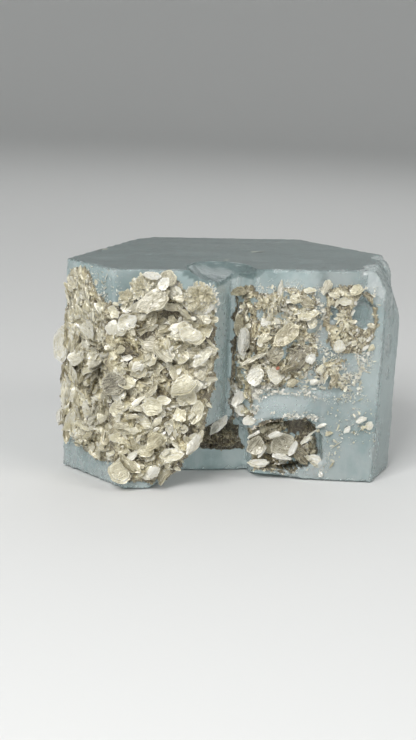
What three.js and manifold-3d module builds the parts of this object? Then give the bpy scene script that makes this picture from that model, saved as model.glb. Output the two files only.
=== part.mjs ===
// An aquamarine crystal with muscovite mica grown on its prism faces.
//
// Millimetres, +Z up along the crystal's long (c) axis. The origin lies on the flat base, on the
// crystal's axis. -Y is the mica-covered front, +X is the bare right-hand side.
//
// The beryl is one solid: a broad hexagonal prism with a flat top, a second crystal grown
// parallel to it as a step on the left of the front, and a V-shaped groove where they meet.
// Each mica cluster is one solid too: a thin crust with flat plates standing out of it.

import * as THREE from "three";
import { ConvexGeometry } from "three/addons/geometries/ConvexGeometry.js";
import { mergeVertices } from "three/addons/utils/BufferGeometryUtils.js";
import Module from "manifold-3d";

const wasm = await Module();
wasm.setup();

// ---------------------------------------------------------------- driving dimensions

const HEIGHT = 51; // base to top face
const GAP = 0.3; // clearance between the beryl and the mica on it
const CLEARANCE_TURNS = [30, 90, 150, 210, 270, 330]; // directions in which it is kept, in plan
const TINY = 0.01; // detail smaller than this is merged away

// Prism faces: the direction that each one looks in, and how far it stands from the axis.
const LEFT_TURN = 210;
const LEFT_DISTANCE = 40.64;
const FRONT = 26;
const PRISM_FACES = [
  { turn: -90, distance: FRONT },
  { turn: -30, distance: 43.6 },
  { turn: 0, distance: 41.1 },
  { turn: 30, distance: 36.3 },
  { turn: 90, distance: 28.5 },
  { turn: 150, distance: 28.64 },
  { turn: LEFT_TURN, distance: LEFT_DISTANCE },
];
const FACE_SLOPE = Math.tan(THREE.MathUtils.degToRad(30)); // how the slanting faces run in plan
const SHOULDER_HEIGHT = 37; // where the right-hand edge swells most
const SHOULDER_SWELL = 1.7;

// The left crystal: its front leans out towards the foot.
const STEP_FRONT_TOP = 28.5;
const STEP_FRONT_FOOT = 34;
const STEP_FLANK = 9; // distance of its right flank, which looks towards -30 degrees

// Groove between the two crystals, in plan, from the top down to the arch.
const GROOVE_DEPTH = 20; // distance of its floor from the axis
const GROOVE_FLOOR_LEFT = -1.2;
const GROOVE_FLOOR_RIGHT = 0.3;
const GROOVE_BOTTOM = 11;
const GROOVE_REACH = 12; // how far the cut runs forward of the floor

// Arch-shaped hollow under the groove, between the feet of the two crystals: where its sides
// stand at each height along its back. The left side slants forward as the flank above it does.
const ARCH_BACK = 17.6;
const ARCH_REACH = 20;
const ARCH_LEVELS = [
  { z: -1, left: -11.8, right: 4.6 },
  { z: 5, left: -10.6, right: 4.8 },
  { z: 10.5, left: -8, right: 3.8 },
  { z: 13.8, left: -4.4, right: 1.8 },
];

// Hollow in the lower right, which holds the large flakes.
const RECESS_BACK = 22.5;
const RECESS_REACH = 20;
const RECESS = [[4, 3.4], [4, 12], [9, 14.2], [18.4, 14.2], [21.2, 10.6], [21.6, 4.8], [13, 2]];

// The right-hand front bulges a little beyond its flat face.
const FRONT_SWELL = [
  [9, -25, 0], [16.5, -26.8, 0], [33.2, -30, 0], [40.9, -16, 0], [30, -20, 0],
  [35.2, -26, 30], [20, -25.6, 22], [12, -25.6, 9], [34, -24, 30],
];

// Smooth raised band across the right-hand front.
const BAND = [[4, 14.8], [4.5, 22], [14, 22.4], [24, 20.6], [26, 15.6], [19, 14.9]];
const BAND_PROUD = 0.7;
const BAND_ROOT = 2; // how far the band starts behind the face

// Six-sided pits etched into the right-hand front, wider at the mouth: x, z, radius, depth.
const PITS = [
  [29.8, 40.4, 4.2, 1.6],
  [22.9, 40.4, 1.8, 1.2],
  [27.6, 35, 1.3, 1.2],
  [14, 29.5, 1.6, 1.2],
];
const PIT_SIDES = 6;
const PIT_MOUTH = 1.2; // share of the radius, as far before the face as the floor lies behind it
const PIT_FLOOR = 0.7;

// Chips at the corners: three points of each broken plane, in order round its outward side.
const CHIPS = [
  [[40.6, -2.6, 51], [38.2, -17.6, 51], [42.8, -11.5, 37.5]],
  [[32.5, -26, 51], [37.4, -21.2, 46], [39, -6, 51]],
  [[-31.5, 10, 51], [-25.5, 18, 51], [-30, 14, 48.6]],
  [[-14, 28.5, 51], [-17.5, 26, 51], [-16, 28, 46]],
];

const CHIP_BLOCK = 60; // side of the block that takes a chip away

// Shell-shaped break where the groove meets the top face.
const SHELL_BREAK = { centre: [-4.5, -26, 52], radii: [8.6, 12.5, 3.8], around: 16, rings: 10 };

// Broken-off lower edge of the right-hand crystal, beside the arch.
const FOOT_BREAK = [
  [3, -29, -1], [18, -29, -1], [3.4, -18.6, -1], [17, -26, 0], [3, -29, 4], [3.2, -22, 1.4],
];

// Low growth ledges on the bare back: corners at the base and at the top.
const BACK_LEDGES = [
  [[-10, 28, 0], [16, 28, 0], [-9, 29.3, 0], [15, 29.3, 0],
    [-6, 28, 33], [12, 28, 33], [-5.4, 29.3, 32], [11.4, 29.3, 32]],
  [[30, 9.5, 0], [38, -1, 0], [31.2, 10.8, 0], [39.8, -1, 0],
    [31, 9, 24], [37.6, 0, 24], [31.8, 9.6, 23.4], [38.8, 0, 23.4]],
];

// ---------------------------------------------------------------- mica

// A cluster lies on one or more faces. A face has the point u = 0, v = 0 at its foot, the
// direction that it looks in, and its backward lean. u runs to the right along the face as
// seen from outside, v up it, and w out of it.
const STEP_LEAN = THREE.MathUtils.radToDeg(Math.atan((STEP_FRONT_FOOT - STEP_FRONT_TOP) / HEIGHT));
const STEP_FACE = { foot: [0, -STEP_FRONT_FOOT, 0], turn: -90, lean: STEP_LEAN };
const LEFT_FACE = { foot: [-40, -12, 0], turn: LEFT_TURN, lean: 0 };
const BACK_LEFT_FACE = { foot: [-40, -12, 0], turn: 150, lean: 0 };
const RIGHT_FACE = { foot: [0, -FRONT, 0], turn: -90, lean: 0 };
const SWELL_FACE = { foot: [16.5, -26.8, 0], turn: -101.3, lean: 8.1 };
const GROOVE_FACE = { foot: [GROOVE_FLOOR_RIGHT, -GROOVE_DEPTH, 0], turn: LEFT_TURN, lean: 0 };
const ARCH_FACE = { foot: [0, -ARCH_BACK, 0], turn: -90, lean: 0 };
const RECESS_FACE = { foot: [0, -RECESS_BACK, 0], turn: -90, lean: 0 };

// Each cluster keeps inside a room of its own, given by two opposite corners.
// Large flakes placed by hand: u, v, w of the middle, length, width, spin of the length in the
// face, and tip, the turn about the length that brings the flake's lower edge outwards.
const CLUSTERS = [
  {
    name: "mica_left_cluster",
    seed: 11,
    room: [[-50, -45, 0.6], [-3.4, 20, 53]],
    crusts: [
      {
        face: STEP_FACE, depth: 2.4, spacing: 6.8, tip: 30,
        outline: [
          [-33, 44], [-29, 42.4], [-28.6, 46.4], [-24.6, 49.6], [-19, 50.2], [-15.4, 49.2],
          [-13.4, 46.6], [-8, 47], [-7.4, 37], [-7.6, 26], [-9, 15.5], [-11.2, 11.5],
          [-15, 5], [-18.4, 2.4], [-25.6, 1.4], [-29.4, 4.2],
        ],
      },
      {
        face: LEFT_FACE, depth: 1.6, spacing: 7, tip: 18,
        outline: [
          [0.6, 46.6], [3, 48.6], [9, 49.2], [12.6, 45.4], [17, 43.4], [22, 43], [24.4, 6],
          [16, 4], [8, 5.6], [2, 8.6], [-1.2, 11], [-1, 35], [0.4, 38],
        ],
      },
      {
        face: BACK_LEFT_FACE, depth: 1.4, spacing: 5.2, tip: 16,
        outline: [[-4.6, 30], [-2.4, 34.6], [1.2, 36], [1.2, 12.4], [-4, 14.5], [-6, 22]],
      },
    ],
    flakes: [
      { face: STEP_FACE, at: [-21.8, 44.6, 4.2], size: [9.4, 5.4], spin: 33, tip: 36 },
      { face: STEP_FACE, at: [-19.2, 47.8, 4.2], size: [4.4, 4], spin: 60, tip: 26 },
      { face: STEP_FACE, at: [-21.2, 49.2, 2.8], size: [5.6, 4.6], spin: 12, tip: 58 },
      { face: STEP_FACE, at: [-25.4, 45.6, 3.2], size: [6, 5], spin: 70, tip: 24 },
      { face: STEP_FACE, at: [-9.8, 45.4, 3], size: [7.6, 5.6], spin: -12, tip: 44 },
      { face: STEP_FACE, at: [-12.8, 36, 4.2], size: [6.2, 6.4], spin: 24, tip: 30 },
      { face: STEP_FACE, at: [-8.6, 31.2, 3.4], size: [7.6, 5.2], spin: 28, tip: 40 },
      { face: STEP_FACE, at: [-13.4, 24.4, 3.6], size: [7.6, 6], spin: 30, tip: 42 },
      { face: STEP_FACE, at: [-30, 24.8, 3], size: [7.4, 7], spin: 20, tip: 10 },
      { face: STEP_FACE, at: [-26.6, 3.6, 2.8], size: [6, 5.4], spin: 30, tip: 12 },
      { face: LEFT_FACE, at: [13.2, 36.6, 2.8], size: [5.6, 5.4], spin: 0, tip: 6 },
      { face: LEFT_FACE, at: [0.8, 30.2, 1.7], size: [8, 4.4], spin: 86, tip: -40 },
      { face: LEFT_FACE, at: [1.6, 12.6, 1.6], size: [5, 3.4], spin: 84, tip: -36 },
    ],
  },
  {
    name: "mica_arch_crust",
    seed: 29,
    room: [[-13, -26, 2.8], [3.8, -10, 16.4]],
    crusts: [
      {
        face: ARCH_FACE, depth: 2.2, spacing: 5.2, tip: 24,
        outline: [
          [-12.4, 8.4], [-10, 11.6], [-4, 13], [1.6, 12], [3.8, 7.6], [3.6, 3.6], [-4, 3.2],
          [-10.4, 4],
        ],
      },
    ],
    flakes: [
      { face: ARCH_FACE, at: [-3.4, 12.4, 5], size: [6, 3.4], spin: 46, tip: 30 },
    ],
  },
  {
    name: "mica_groove_books",
    seed: 17,
    room: [[-3, -32, 16.8], [3.4, -18, 51]],
    crusts: [
      {
        face: GROOVE_FACE, depth: 1.2, spacing: 5.2, tip: -18,
        outline: [[1, 16], [0.8, 46], [5, 47.5], [6.4, 45], [6.2, 17], [4, 14.6]],
      },
    ],
    flakes: [
      { face: GROOVE_FACE, at: [4.6, 34.2, 2.4], size: [7.6, 3.8], spin: 88, tip: -24 },
      { face: GROOVE_FACE, at: [2.6, 37, 1.6], size: [6.4, 2.8], spin: 84, tip: -30 },
      { face: GROOVE_FACE, at: [4, 45, 1.8], size: [5.4, 3.6], spin: 20, tip: 30 },
    ],
  },
  {
    name: "mica_upper_cluster",
    seed: 23,
    room: [[3.8, -34, 22.6], [18.8, -24, 49]],
    crusts: [
      {
        face: RIGHT_FACE, depth: 1.5, spacing: 5.4, tip: 30,
        outline: [
          [3.8, 47], [11.6, 46.2], [17, 45.4], [18, 41.5], [17.2, 35.4], [14.6, 31.6],
          [12.6, 27], [14.6, 23.4], [8, 23.4], [3.8, 23.2],
        ],
      },
    ],
    flakes: [
      { face: RIGHT_FACE, at: [11, 36.4, 2.8], size: [8.4, 5.6], spin: 34, tip: 36 },
      { face: RIGHT_FACE, at: [6.6, 27, 2.4], size: [6, 5], spin: 30, tip: 30 },
      { face: RIGHT_FACE, at: [9.6, 26.4, 2.4], size: [5.4, 4.6], spin: -20, tip: 34 },
    ],
  },
  {
    name: "mica_right_ring",
    seed: 31,
    room: [[19.2, -32, 30.6], [36, -24, 49]],
    crusts: [
      {
        face: RIGHT_FACE, depth: 1.2, spacing: 4.6, tip: 18,
        outline: [
          [20.4, 46.8], [25, 47.6], [29, 47], [32.6, 44], [33.6, 39.2], [33.2, 33.4],
          [30, 31.2], [26, 31.6], [21.6, 33], [20.2, 39],
        ],
        window: [[29.4, 44.6], [27.2, 40.6], [28, 37.4], [31, 36.6], [31.8, 40.4], [31, 43]],
      },
    ],
    flakes: [
      { face: RIGHT_FACE, at: [25.6, 37.4, 1.6], size: [6.4, 4], spin: 30, tip: 24 },
    ],
  },
  {
    name: "mica_middle_flecks",
    seed: 37,
    room: [[19.2, -32, 20.6], [30, -24, 30.2]],
    crusts: [
      {
        face: RIGHT_FACE, depth: 1.1, spacing: 4.2, tip: 20,
        outline: [[20, 23.4], [19.4, 26.6], [22.6, 29.2], [26.4, 29.4], [27.6, 25], [24.6, 21.8]],
      },
    ],
    flakes: [],
  },
  {
    name: "mica_lower_cluster",
    seed: 41,
    room: [[4.2, -34, 1.6], [26, -20, 16.4]],
    crusts: [
      {
        face: RECESS_FACE, depth: 2.6, spacing: 5.6, tip: 26,
        outline: [
          [4.6, 4.2], [4.8, 11.4], [9.4, 13.4], [17.8, 13.4], [20.4, 10.2], [20.8, 5.4], [13, 2.8],
        ],
      },
    ],
    flakes: [
      { face: RECESS_FACE, at: [12.4, 9.2, 6.2], size: [7.8, 6.8], spin: -8, tip: 22 },
      { face: RECESS_FACE, at: [6.4, 8.4, 5.4], size: [6.2, 5.4], spin: 24, tip: 24 },
      { face: RECESS_FACE, at: [5.8, 13.2, 5.4], size: [5.2, 3.4], spin: 16, tip: 26 },
      { face: RECESS_FACE, at: [18.6, 5, 4], size: [5.4, 3.4], spin: -16, tip: 36 },
      { face: RECESS_FACE, at: [18.4, 11.4, 4], size: [5.2, 3], spin: 22, tip: 30 },
    ],
  },
  {
    name: "mica_corner_fleck",
    seed: 43,
    room: [[26.4, -32, 9.4], [36, -24, 16]],
    crusts: [
      {
        face: SWELL_FACE, depth: 1, spacing: 4, tip: 18,
        outline: [[11.6, 11.2], [11.8, 14], [14.2, 15], [17.2, 13.8], [17, 11.6], [14.4, 10.4]],
      },
    ],
    flakes: [],
  },
];
const CRUST_ROOT = 4; // how far a crust's slab starts behind the face that it grows from
const CRUST_EDGE = 0.9; // slope at a crust's rim
const FLAKE_THICKNESS = 0.9;
const FLAKE_SIDES = 7;
const FLAKE_TAPER = 0.84;

// The plates scattered over a crust, as shares of its spacing: how far apart the rows are, how
// far each plate strays, and the least length and width with what chance adds to them.
const PLATES = {
  rows: 0.8, strayU: 0.7, strayV: 0.6, length: 0.9, longer: 0.5, width: 0.7, wider: 0.4,
};
const PLATE_RISE = 0.9; // millimetres between the lowest and the highest plate
const PLATE_SINK = 0.3; // share of that which lies below the crust's surface
const LEAST_TIP = 0.3; // share of a crust's tip that every plate has

const BERYL = new THREE.MeshStandardMaterial({ color: "#a9bdbd", roughness: 0.2, metalness: 0 });
const MICA = { color: "#b8b198", roughness: 0.45, metalness: 0 };

// ---------------------------------------------------------------- helpers

/** A manifold solid from a closed three.js geometry, moved by a matrix once it is merged. */
function toSolid(geometry, matrix = new THREE.Matrix4()) {
  geometry.deleteAttribute("normal");
  geometry.deleteAttribute("uv");
  const merged = mergeVertices(geometry).applyMatrix4(matrix);
  const vertProperties = new Float32Array(merged.attributes.position.array);
  const triVerts = new Uint32Array(merged.index.array);
  return new wasm.Manifold(new wasm.Mesh({ numProp: 3, vertProperties, triVerts }));
}

/** A named mesh from a manifold solid. */
function toMesh(name, solid, material) {
  const { vertProperties, triVerts } = solid.getMesh();
  const geometry = new THREE.BufferGeometry();
  geometry.setAttribute("position", new THREE.BufferAttribute(vertProperties, 3));
  geometry.setIndex(new THREE.BufferAttribute(triVerts, 1));
  const mesh = new THREE.Mesh(geometry, material);
  mesh.name = name;
  return mesh;
}

/** The convex solid on a list of corners. */
function hull(corners) {
  return toSolid(new ConvexGeometry(corners.map((corner) => new THREE.Vector3(...corner))));
}

/** One solid from several. */
function join(solids) {
  return wasm.Manifold.union(solids);
}

/** A box between two opposite corners. */
function boxBetween(low, high) {
  const sides = high.map((value, axis) => value - low[axis]);
  const middle = high.map((value, axis) => (value + low[axis]) / 2);
  return toSolid(new THREE.BoxGeometry(...sides), new THREE.Matrix4().makeTranslation(...middle));
}

/** The largest connected body of a solid, so that no crumbs are left beside it. */
function largestBody(solid) {
  const bodies = solid.decompose();
  return bodies.reduce((best, body) => (body.volume() > best.volume() ? body : best));
}

/** Where two upright faces, each given by its turn and distance, meet in plan. */
function meet(faceA, faceB) {
  const a = THREE.MathUtils.degToRad(faceA.turn);
  const b = THREE.MathUtils.degToRad(faceB.turn);
  const across = Math.sin(b - a);
  const x = (faceA.distance * Math.sin(b) - faceB.distance * Math.sin(a)) / across;
  const y = (faceB.distance * Math.cos(a) - faceA.distance * Math.cos(b)) / across;
  return [x, y];
}

/** Corners of the prism at one height, with its right-hand face moved out by a swell. */
function prismCorners(z, swell) {
  const faces = PRISM_FACES.map((face) => ({
    turn: face.turn,
    distance: face.distance + (face.turn === 0 ? swell : 0),
  }));
  return faces.map((face, index) => [...meet(face, faces[(index + 1) % faces.length]), z]);
}

/** A slab with a flat outline in the XZ plane, from the given back to well before the front. */
function slabAlongY(outline, back, thickness) {
  const shape = new THREE.Shape(outline.map(([x, z]) => new THREE.Vector2(x, z)));
  const geometry = new THREE.ExtrudeGeometry(shape, { depth: thickness, bevelEnabled: false });
  geometry.rotateX(Math.PI / 2);
  geometry.translate(0, -back, 0);
  return toSolid(geometry);
}

/** A large block beyond the plane through three points, on the side away from the crystal. */
function beyondPlane(corners) {
  const [a, b, c] = corners.map((corner) => new THREE.Vector3(...corner));
  const middle = a.clone().add(b).add(c).divideScalar(corners.length);
  const plane = new THREE.Plane().setFromCoplanarPoints(a, b, c);
  if (plane.distanceToPoint(new THREE.Vector3(0, 0, HEIGHT / 2)) > 0) {
    plane.negate();
  }
  const geometry = new THREE.BoxGeometry(CHIP_BLOCK, CHIP_BLOCK, CHIP_BLOCK);
  geometry.translate(0, 0, CHIP_BLOCK / 2);
  geometry.applyQuaternion(
    new THREE.Quaternion().setFromUnitVectors(new THREE.Vector3(0, 0, 1), plane.normal),
  );
  geometry.translate(middle.x, middle.y, middle.z);
  return toSolid(geometry);
}

/** Repeatable random numbers from 0 to 1. */
function randomSource(seed) {
  let state = seed;
  return () => {
    state = (state * 1664525 + 1013904223) % 4294967296;
    return state / 4294967296;
  };
}

/** Whether a point lies inside an outline. */
function contains(outline, u, v) {
  let inside = false;
  outline.forEach(([u1, v1], index) => {
    const [u2, v2] = outline[(index + 1) % outline.length];
    if (v1 > v !== v2 > v && u < ((u2 - u1) * (v - v1)) / (v2 - v1) + u1) {
      inside = !inside;
    }
  });
  return inside;
}

/** The matrix that takes a face's u, v and w to the model's frame. */
function faceMatrix({ foot, turn, lean }) {
  const yaw = new THREE.Matrix4().makeRotationZ(THREE.MathUtils.degToRad(turn + 90));
  const pitch = new THREE.Matrix4().makeRotationX(THREE.MathUtils.degToRad(90 - lean));
  return new THREE.Matrix4().makeTranslation(...foot).multiply(yaw).multiply(pitch);
}

// ---------------------------------------------------------------- the beryl

/** The two crystals grown together, before they are cut. */
function grownTogether() {
  const main = hull([
    ...prismCorners(0, 0),
    ...prismCorners(SHOULDER_HEIGHT, SHOULDER_SWELL),
    ...prismCorners(HEIGHT, 0),
  ]);
  const stepCorners = [[0, STEP_FRONT_FOOT], [HEIGHT, STEP_FRONT_TOP]].flatMap(([z, distance]) => {
    const front = { turn: -90, distance };
    const behind = { turn: -90, distance: GROOVE_DEPTH };
    const left = { turn: LEFT_TURN, distance: LEFT_DISTANCE };
    const flank = { turn: -30, distance: STEP_FLANK };
    return [meet(front, left), meet(front, flank), meet(behind, left), meet(behind, flank)]
      .map(([x, y]) => [x, y, z]);
  });
  const band = slabAlongY(BAND, FRONT - BAND_ROOT, BAND_ROOT + BAND_PROUD);
  const ledges = BACK_LEDGES.map(hull);
  return join([main, hull(stepCorners), hull(FRONT_SWELL), band, ...ledges]);
}

/** The groove between the crystals: both walls are prism faces. */
function grooveCutter() {
  const front = -GROOVE_DEPTH - GROOVE_REACH;
  const slant = GROOVE_REACH * FACE_SLOPE;
  const outline = [
    [GROOVE_FLOOR_LEFT, -GROOVE_DEPTH],
    [GROOVE_FLOOR_LEFT - slant, front],
    [GROOVE_FLOOR_RIGHT + slant, front],
    [GROOVE_FLOOR_RIGHT, -GROOVE_DEPTH],
  ];
  const shape = new THREE.Shape(outline.map(([x, y]) => new THREE.Vector2(x, y)));
  const geometry = new THREE.ExtrudeGeometry(shape, { depth: HEIGHT, bevelEnabled: false });
  geometry.translate(0, 0, GROOVE_BOTTOM);
  return toSolid(geometry);
}

/** The arch between the feet of the crystals. */
function archCutter() {
  const slant = ARCH_REACH * FACE_SLOPE;
  const front = -ARCH_BACK - ARCH_REACH;
  return hull(ARCH_LEVELS.flatMap(({ z, left, right }) => [
    [left, -ARCH_BACK, z],
    [left - slant, front, z],
    [right, -ARCH_BACK, z],
    [right, front, z],
  ]));
}

/** The shell-shaped break at the top of the groove. */
function shellBreak() {
  const geometry = new THREE.SphereGeometry(1, SHELL_BREAK.around, SHELL_BREAK.rings);
  geometry.scale(...SHELL_BREAK.radii);
  geometry.translate(...SHELL_BREAK.centre);
  return toSolid(geometry);
}

/** An etched pit in the right-hand front. */
function pit([x, z, radius, depth]) {
  const mouth = radius * PIT_MOUTH;
  const geometry = new THREE.CylinderGeometry(radius * PIT_FLOOR, mouth, 2 * depth, PIT_SIDES);
  geometry.translate(x, -FRONT, z);
  return toSolid(geometry);
}

/** The finished beryl. */
function buildBeryl() {
  const cutters = [
    grooveCutter(),
    archCutter(),
    slabAlongY(RECESS, RECESS_BACK, RECESS_REACH),
    hull(FOOT_BREAK),
    shellBreak(),
    ...PITS.map(pit),
    ...CHIPS.map(beyondPlane),
  ];
  return largestBody(grownTogether().subtract(join(cutters))).simplify(TINY);
}

// ---------------------------------------------------------------- the mica

/** A slab on a face, from behind it to the given depth, with its rim sloped by an edge. */
function slabOnFace(face, outline, depth, edge) {
  const shape = new THREE.Shape(outline.map(([u, v]) => new THREE.Vector2(u, v)));
  const geometry = new THREE.ExtrudeGeometry(shape, {
    depth: CRUST_ROOT + depth - edge,
    bevelEnabled: edge > 0,
    bevelThickness: edge,
    bevelSize: edge,
    bevelOffset: -edge,
    bevelSegments: 1,
  });
  const root = new THREE.Matrix4().makeTranslation(0, 0, -CRUST_ROOT);
  return toSolid(geometry, faceMatrix(face).multiply(root));
}

/** Everything of one crust: its slab and plates, less the window that stays bare. */
function crust(options, random) {
  const { face, outline, window, depth } = options;
  const slab = slabOnFace(face, outline, depth, CRUST_EDGE);
  const whole = join([slab, ...scatter(options, random)]);
  return window ? whole.subtract(slabOnFace(face, window, CRUST_ROOT, 0)) : whole;
}

/** One flat mica plate. */
function flake({ face, at, size, spin, tip }) {
  const geometry = new THREE.CylinderGeometry(FLAKE_TAPER, 1, FLAKE_THICKNESS, FLAKE_SIDES);
  geometry.rotateX(Math.PI / 2);
  geometry.scale(size[0] / 2, size[1] / 2, 1);
  const matrix = faceMatrix(face)
    .multiply(new THREE.Matrix4().makeTranslation(...at))
    .multiply(new THREE.Matrix4().makeRotationZ(THREE.MathUtils.degToRad(spin)))
    .multiply(new THREE.Matrix4().makeRotationX(THREE.MathUtils.degToRad(-tip)));
  return toSolid(geometry, matrix);
}

/** Shingled plates all over a crust, on a loose grid. */
function scatter({ face, outline, depth, spacing, tip }, random) {
  const us = outline.map(([u]) => u);
  const vs = outline.map(([, v]) => v);
  const plates = [];
  for (let v = Math.min(...vs) + spacing / 2; v < Math.max(...vs); v += spacing * PLATES.rows) {
    for (let u = Math.min(...us) + spacing / 2; u < Math.max(...us); u += spacing) {
      const at = [
        u + (random() - 0.5) * spacing * PLATES.strayU,
        v + (random() - 0.5) * spacing * PLATES.strayV,
        depth + (random() - PLATE_SINK) * PLATE_RISE,
      ];
      const length = spacing * (PLATES.length + random() * PLATES.longer);
      const width = spacing * (PLATES.width + random() * PLATES.wider);
      const spin = random() * 360;
      const plate = { face, at, size: [length, width], spin, tip: tip * (LEAST_TIP + random()) };
      if (contains(outline, at[0], at[1])) {
        plates.push(flake(plate));
      }
    }
  }
  return plates;
}

/** Everything within a clearance of a solid, as the solid and its moved copies. */
function withClearance(solid, clearance) {
  const moves = [[0, 0, 0], [0, 0, clearance], [0, 0, -clearance]];
  for (const degrees of CLEARANCE_TURNS) {
    const turn = THREE.MathUtils.degToRad(degrees);
    moves.push([clearance * Math.cos(turn), clearance * Math.sin(turn), 0]);
  }
  return join(moves.map((move) => solid.translate(move)));
}

/** One cluster, kept clear of the beryl and inside the room that it has to itself. */
function buildCluster({ seed, room, crusts, flakes }, berylAndGap) {
  const random = randomSource(seed);
  const pieces = [...crusts.map((options) => crust(options, random)), ...flakes.map(flake)];
  const kept = join(pieces).intersect(boxBetween(...room)).subtract(berylAndGap);
  return largestBody(kept).simplify(TINY);
}

// ---------------------------------------------------------------- assembly

const group = new THREE.Group();
const crystal = buildBeryl();
const berylAndGap = withClearance(crystal, GAP);
group.add(toMesh("aquamarine_crystal", crystal, BERYL));
for (const cluster of CLUSTERS) {
  const material = new THREE.MeshStandardMaterial(MICA);
  group.add(toMesh(cluster.name, buildCluster(cluster, berylAndGap), material));
}

export default group;
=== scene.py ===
"""Looks for an aquamarine crystal overgrown with muscovite mica.

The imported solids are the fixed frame. The beryl is remeshed from its own solid, with worn edges
and a milky, see-through finish. Each cluster of mica is rebuilt leaf by leaf on the face that it
grows from, and stands for the solid of the same cluster. Lengths are in millimetres, and angles
in degrees, unless a line says otherwise.
"""

import logging
import math
from dataclasses import dataclass, field, replace
from enum import Enum
from functools import partial

import bmesh
import bpy
import numpy as np
from mathutils import Matrix, Vector, noise
from mathutils.bvhtree import BVHTree
from mathutils.kdtree import KDTree


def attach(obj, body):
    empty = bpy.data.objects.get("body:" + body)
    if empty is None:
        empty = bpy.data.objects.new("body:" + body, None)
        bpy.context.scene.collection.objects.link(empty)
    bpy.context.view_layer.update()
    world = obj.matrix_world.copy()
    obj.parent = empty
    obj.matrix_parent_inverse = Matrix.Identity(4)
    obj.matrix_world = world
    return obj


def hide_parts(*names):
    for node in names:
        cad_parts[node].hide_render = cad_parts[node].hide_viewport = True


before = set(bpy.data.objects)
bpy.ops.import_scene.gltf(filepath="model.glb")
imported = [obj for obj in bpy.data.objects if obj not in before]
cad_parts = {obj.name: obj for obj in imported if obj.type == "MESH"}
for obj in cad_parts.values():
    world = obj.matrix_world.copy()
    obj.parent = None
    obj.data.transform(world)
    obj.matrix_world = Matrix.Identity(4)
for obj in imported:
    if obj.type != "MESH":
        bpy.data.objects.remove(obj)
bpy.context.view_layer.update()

LOG = logging.getLogger("aquamarine")
CLOUD_SEED = 2  # of the smooth random vectors, which would else change from run to run
BODY = "root"
MM = 0.001
TAU = 2.0 * math.pi

Range = tuple[float, float]
Place = tuple[float, float, float]
Colour = tuple[float, float, float]
Outline = tuple[tuple[float, float], ...]


# ---------------------------------------------------------------- places on the crystal


def turned(degrees: np.ndarray, axis: int) -> np.ndarray:
    """Turns about one axis.

    Args:
        degrees: The angles.
        axis: 0 for x, 1 for y or 2 for z.

    Returns:
        A matrix for each angle.
    """
    c, s = np.cos(np.radians(degrees)), np.sin(np.radians(degrees))
    zero, one = np.zeros_like(c), np.ones_like(c)
    rows = (
        ((one, zero, zero), (zero, c, -s), (zero, s, c)),
        ((c, zero, s), (zero, one, zero), (-s, zero, c)),
        ((c, -s, zero), (s, c, zero), (zero, zero, one)),
    )
    return np.moveaxis(np.array(rows[axis]), -1, 0)


@dataclass(frozen=True)
class PrismFace:
    """A face that mica grows on: u runs right along it, v up it and w out of it.

    The point u = v = w = 0 is at the foot. The turn is the direction that the face looks in,
    counted from x, and the lean is how far it leans back.
    """

    foot: Place
    turn: float
    lean: float = 0.0

    def axes(self) -> np.ndarray:
        """The face's u, v and w directions as the columns of a matrix."""
        return (turned([self.turn + 90.0], 2) @ turned([90.0 - self.lean], 0))[0]

    def place(self, points: np.ndarray) -> np.ndarray:
        """Moves rows of u, v and w to the crystal's own x, y and z."""
        return points @ self.axes().T + np.array(self.foot)


STEP_FACE = PrismFace((0, -34, 0), -90, 6.15)
LEFT_FACE = PrismFace((-40, -12, 0), 210)
BACK_LEFT_FACE = PrismFace((-40, -12, 0), 150)
RIGHT_FACE = PrismFace((0, -26, 0), -90)
TOP_FACE = PrismFace((0, 0, 51), -90, 90)
GROOVE_FACE = PrismFace((0.3, -20, 0), 210)
FLOOR_FACE = PrismFace((0, -20, 0), -90)
ARCH_FACE = PrismFace((0, -17.6, 0), -90)


def inside(outline: Outline, u: np.ndarray, v: np.ndarray) -> np.ndarray:
    """Which points lie inside an outline.

    Args:
        outline: Corners in order.
        u: First coordinates of the points.
        v: Second coordinates of the points.

    Returns:
        True for each point that lies inside.
    """
    found = np.zeros(np.shape(u), bool)
    corners = np.array(outline, float)
    for (u1, v1), (u2, v2) in zip(corners, np.roll(corners, -1, axis=0)):
        if v1 == v2:
            continue
        crosses = (v1 > v) != (v2 > v)
        found ^= crosses & (u < (u2 - u1) * (v - v1) / (v2 - v1) + u1)
    return found


def distance_to_rim(outline: Outline, u: np.ndarray, v: np.ndarray) -> np.ndarray:
    """How far points are from an outline's rim.

    Args:
        outline: Corners in order.
        u: First coordinates of the points.
        v: Second coordinates of the points.

    Returns:
        The distance of each point.
    """
    nearest = np.full(np.shape(u), np.inf)
    corners = np.array(outline, float)
    for start, end in zip(corners, np.roll(corners, -1, axis=0)):
        along = end - start
        share = ((u - start[0]) * along[0] + (v - start[1]) * along[1]) / (along @ along)
        share = np.clip(share, 0, 1)
        gap = np.hypot(u - start[0] - share * along[0], v - start[1] - share * along[1])
        nearest = np.minimum(nearest, gap)
    return nearest


def wander(u: np.ndarray, v: np.ndarray, reach: float = 1.1) -> tuple[np.ndarray, np.ndarray]:
    """Shifts places by a smooth random amount, so that straight rims become natural ones.

    Args:
        u: First coordinates of the places.
        v: Second coordinates of the places.
        reach: Greatest shift.

    Returns:
        The shifted coordinates.
    """
    slow_pace, slow_level, quick_level = 0.42, 3.1, 9.7
    shifts = []
    for a, b in zip(np.ravel(u), np.ravel(v)):
        slow = noise.noise_vector(Vector((a * slow_pace, b * slow_pace, slow_level)))
        quick = noise.noise_vector(Vector((a, b, quick_level)))
        shifts.append(slow + quick * 0.5)
    shifts = np.array(shifts).reshape(*np.shape(u), 3)
    return u + reach * shifts[..., 0], v + reach * shifts[..., 1]


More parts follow.
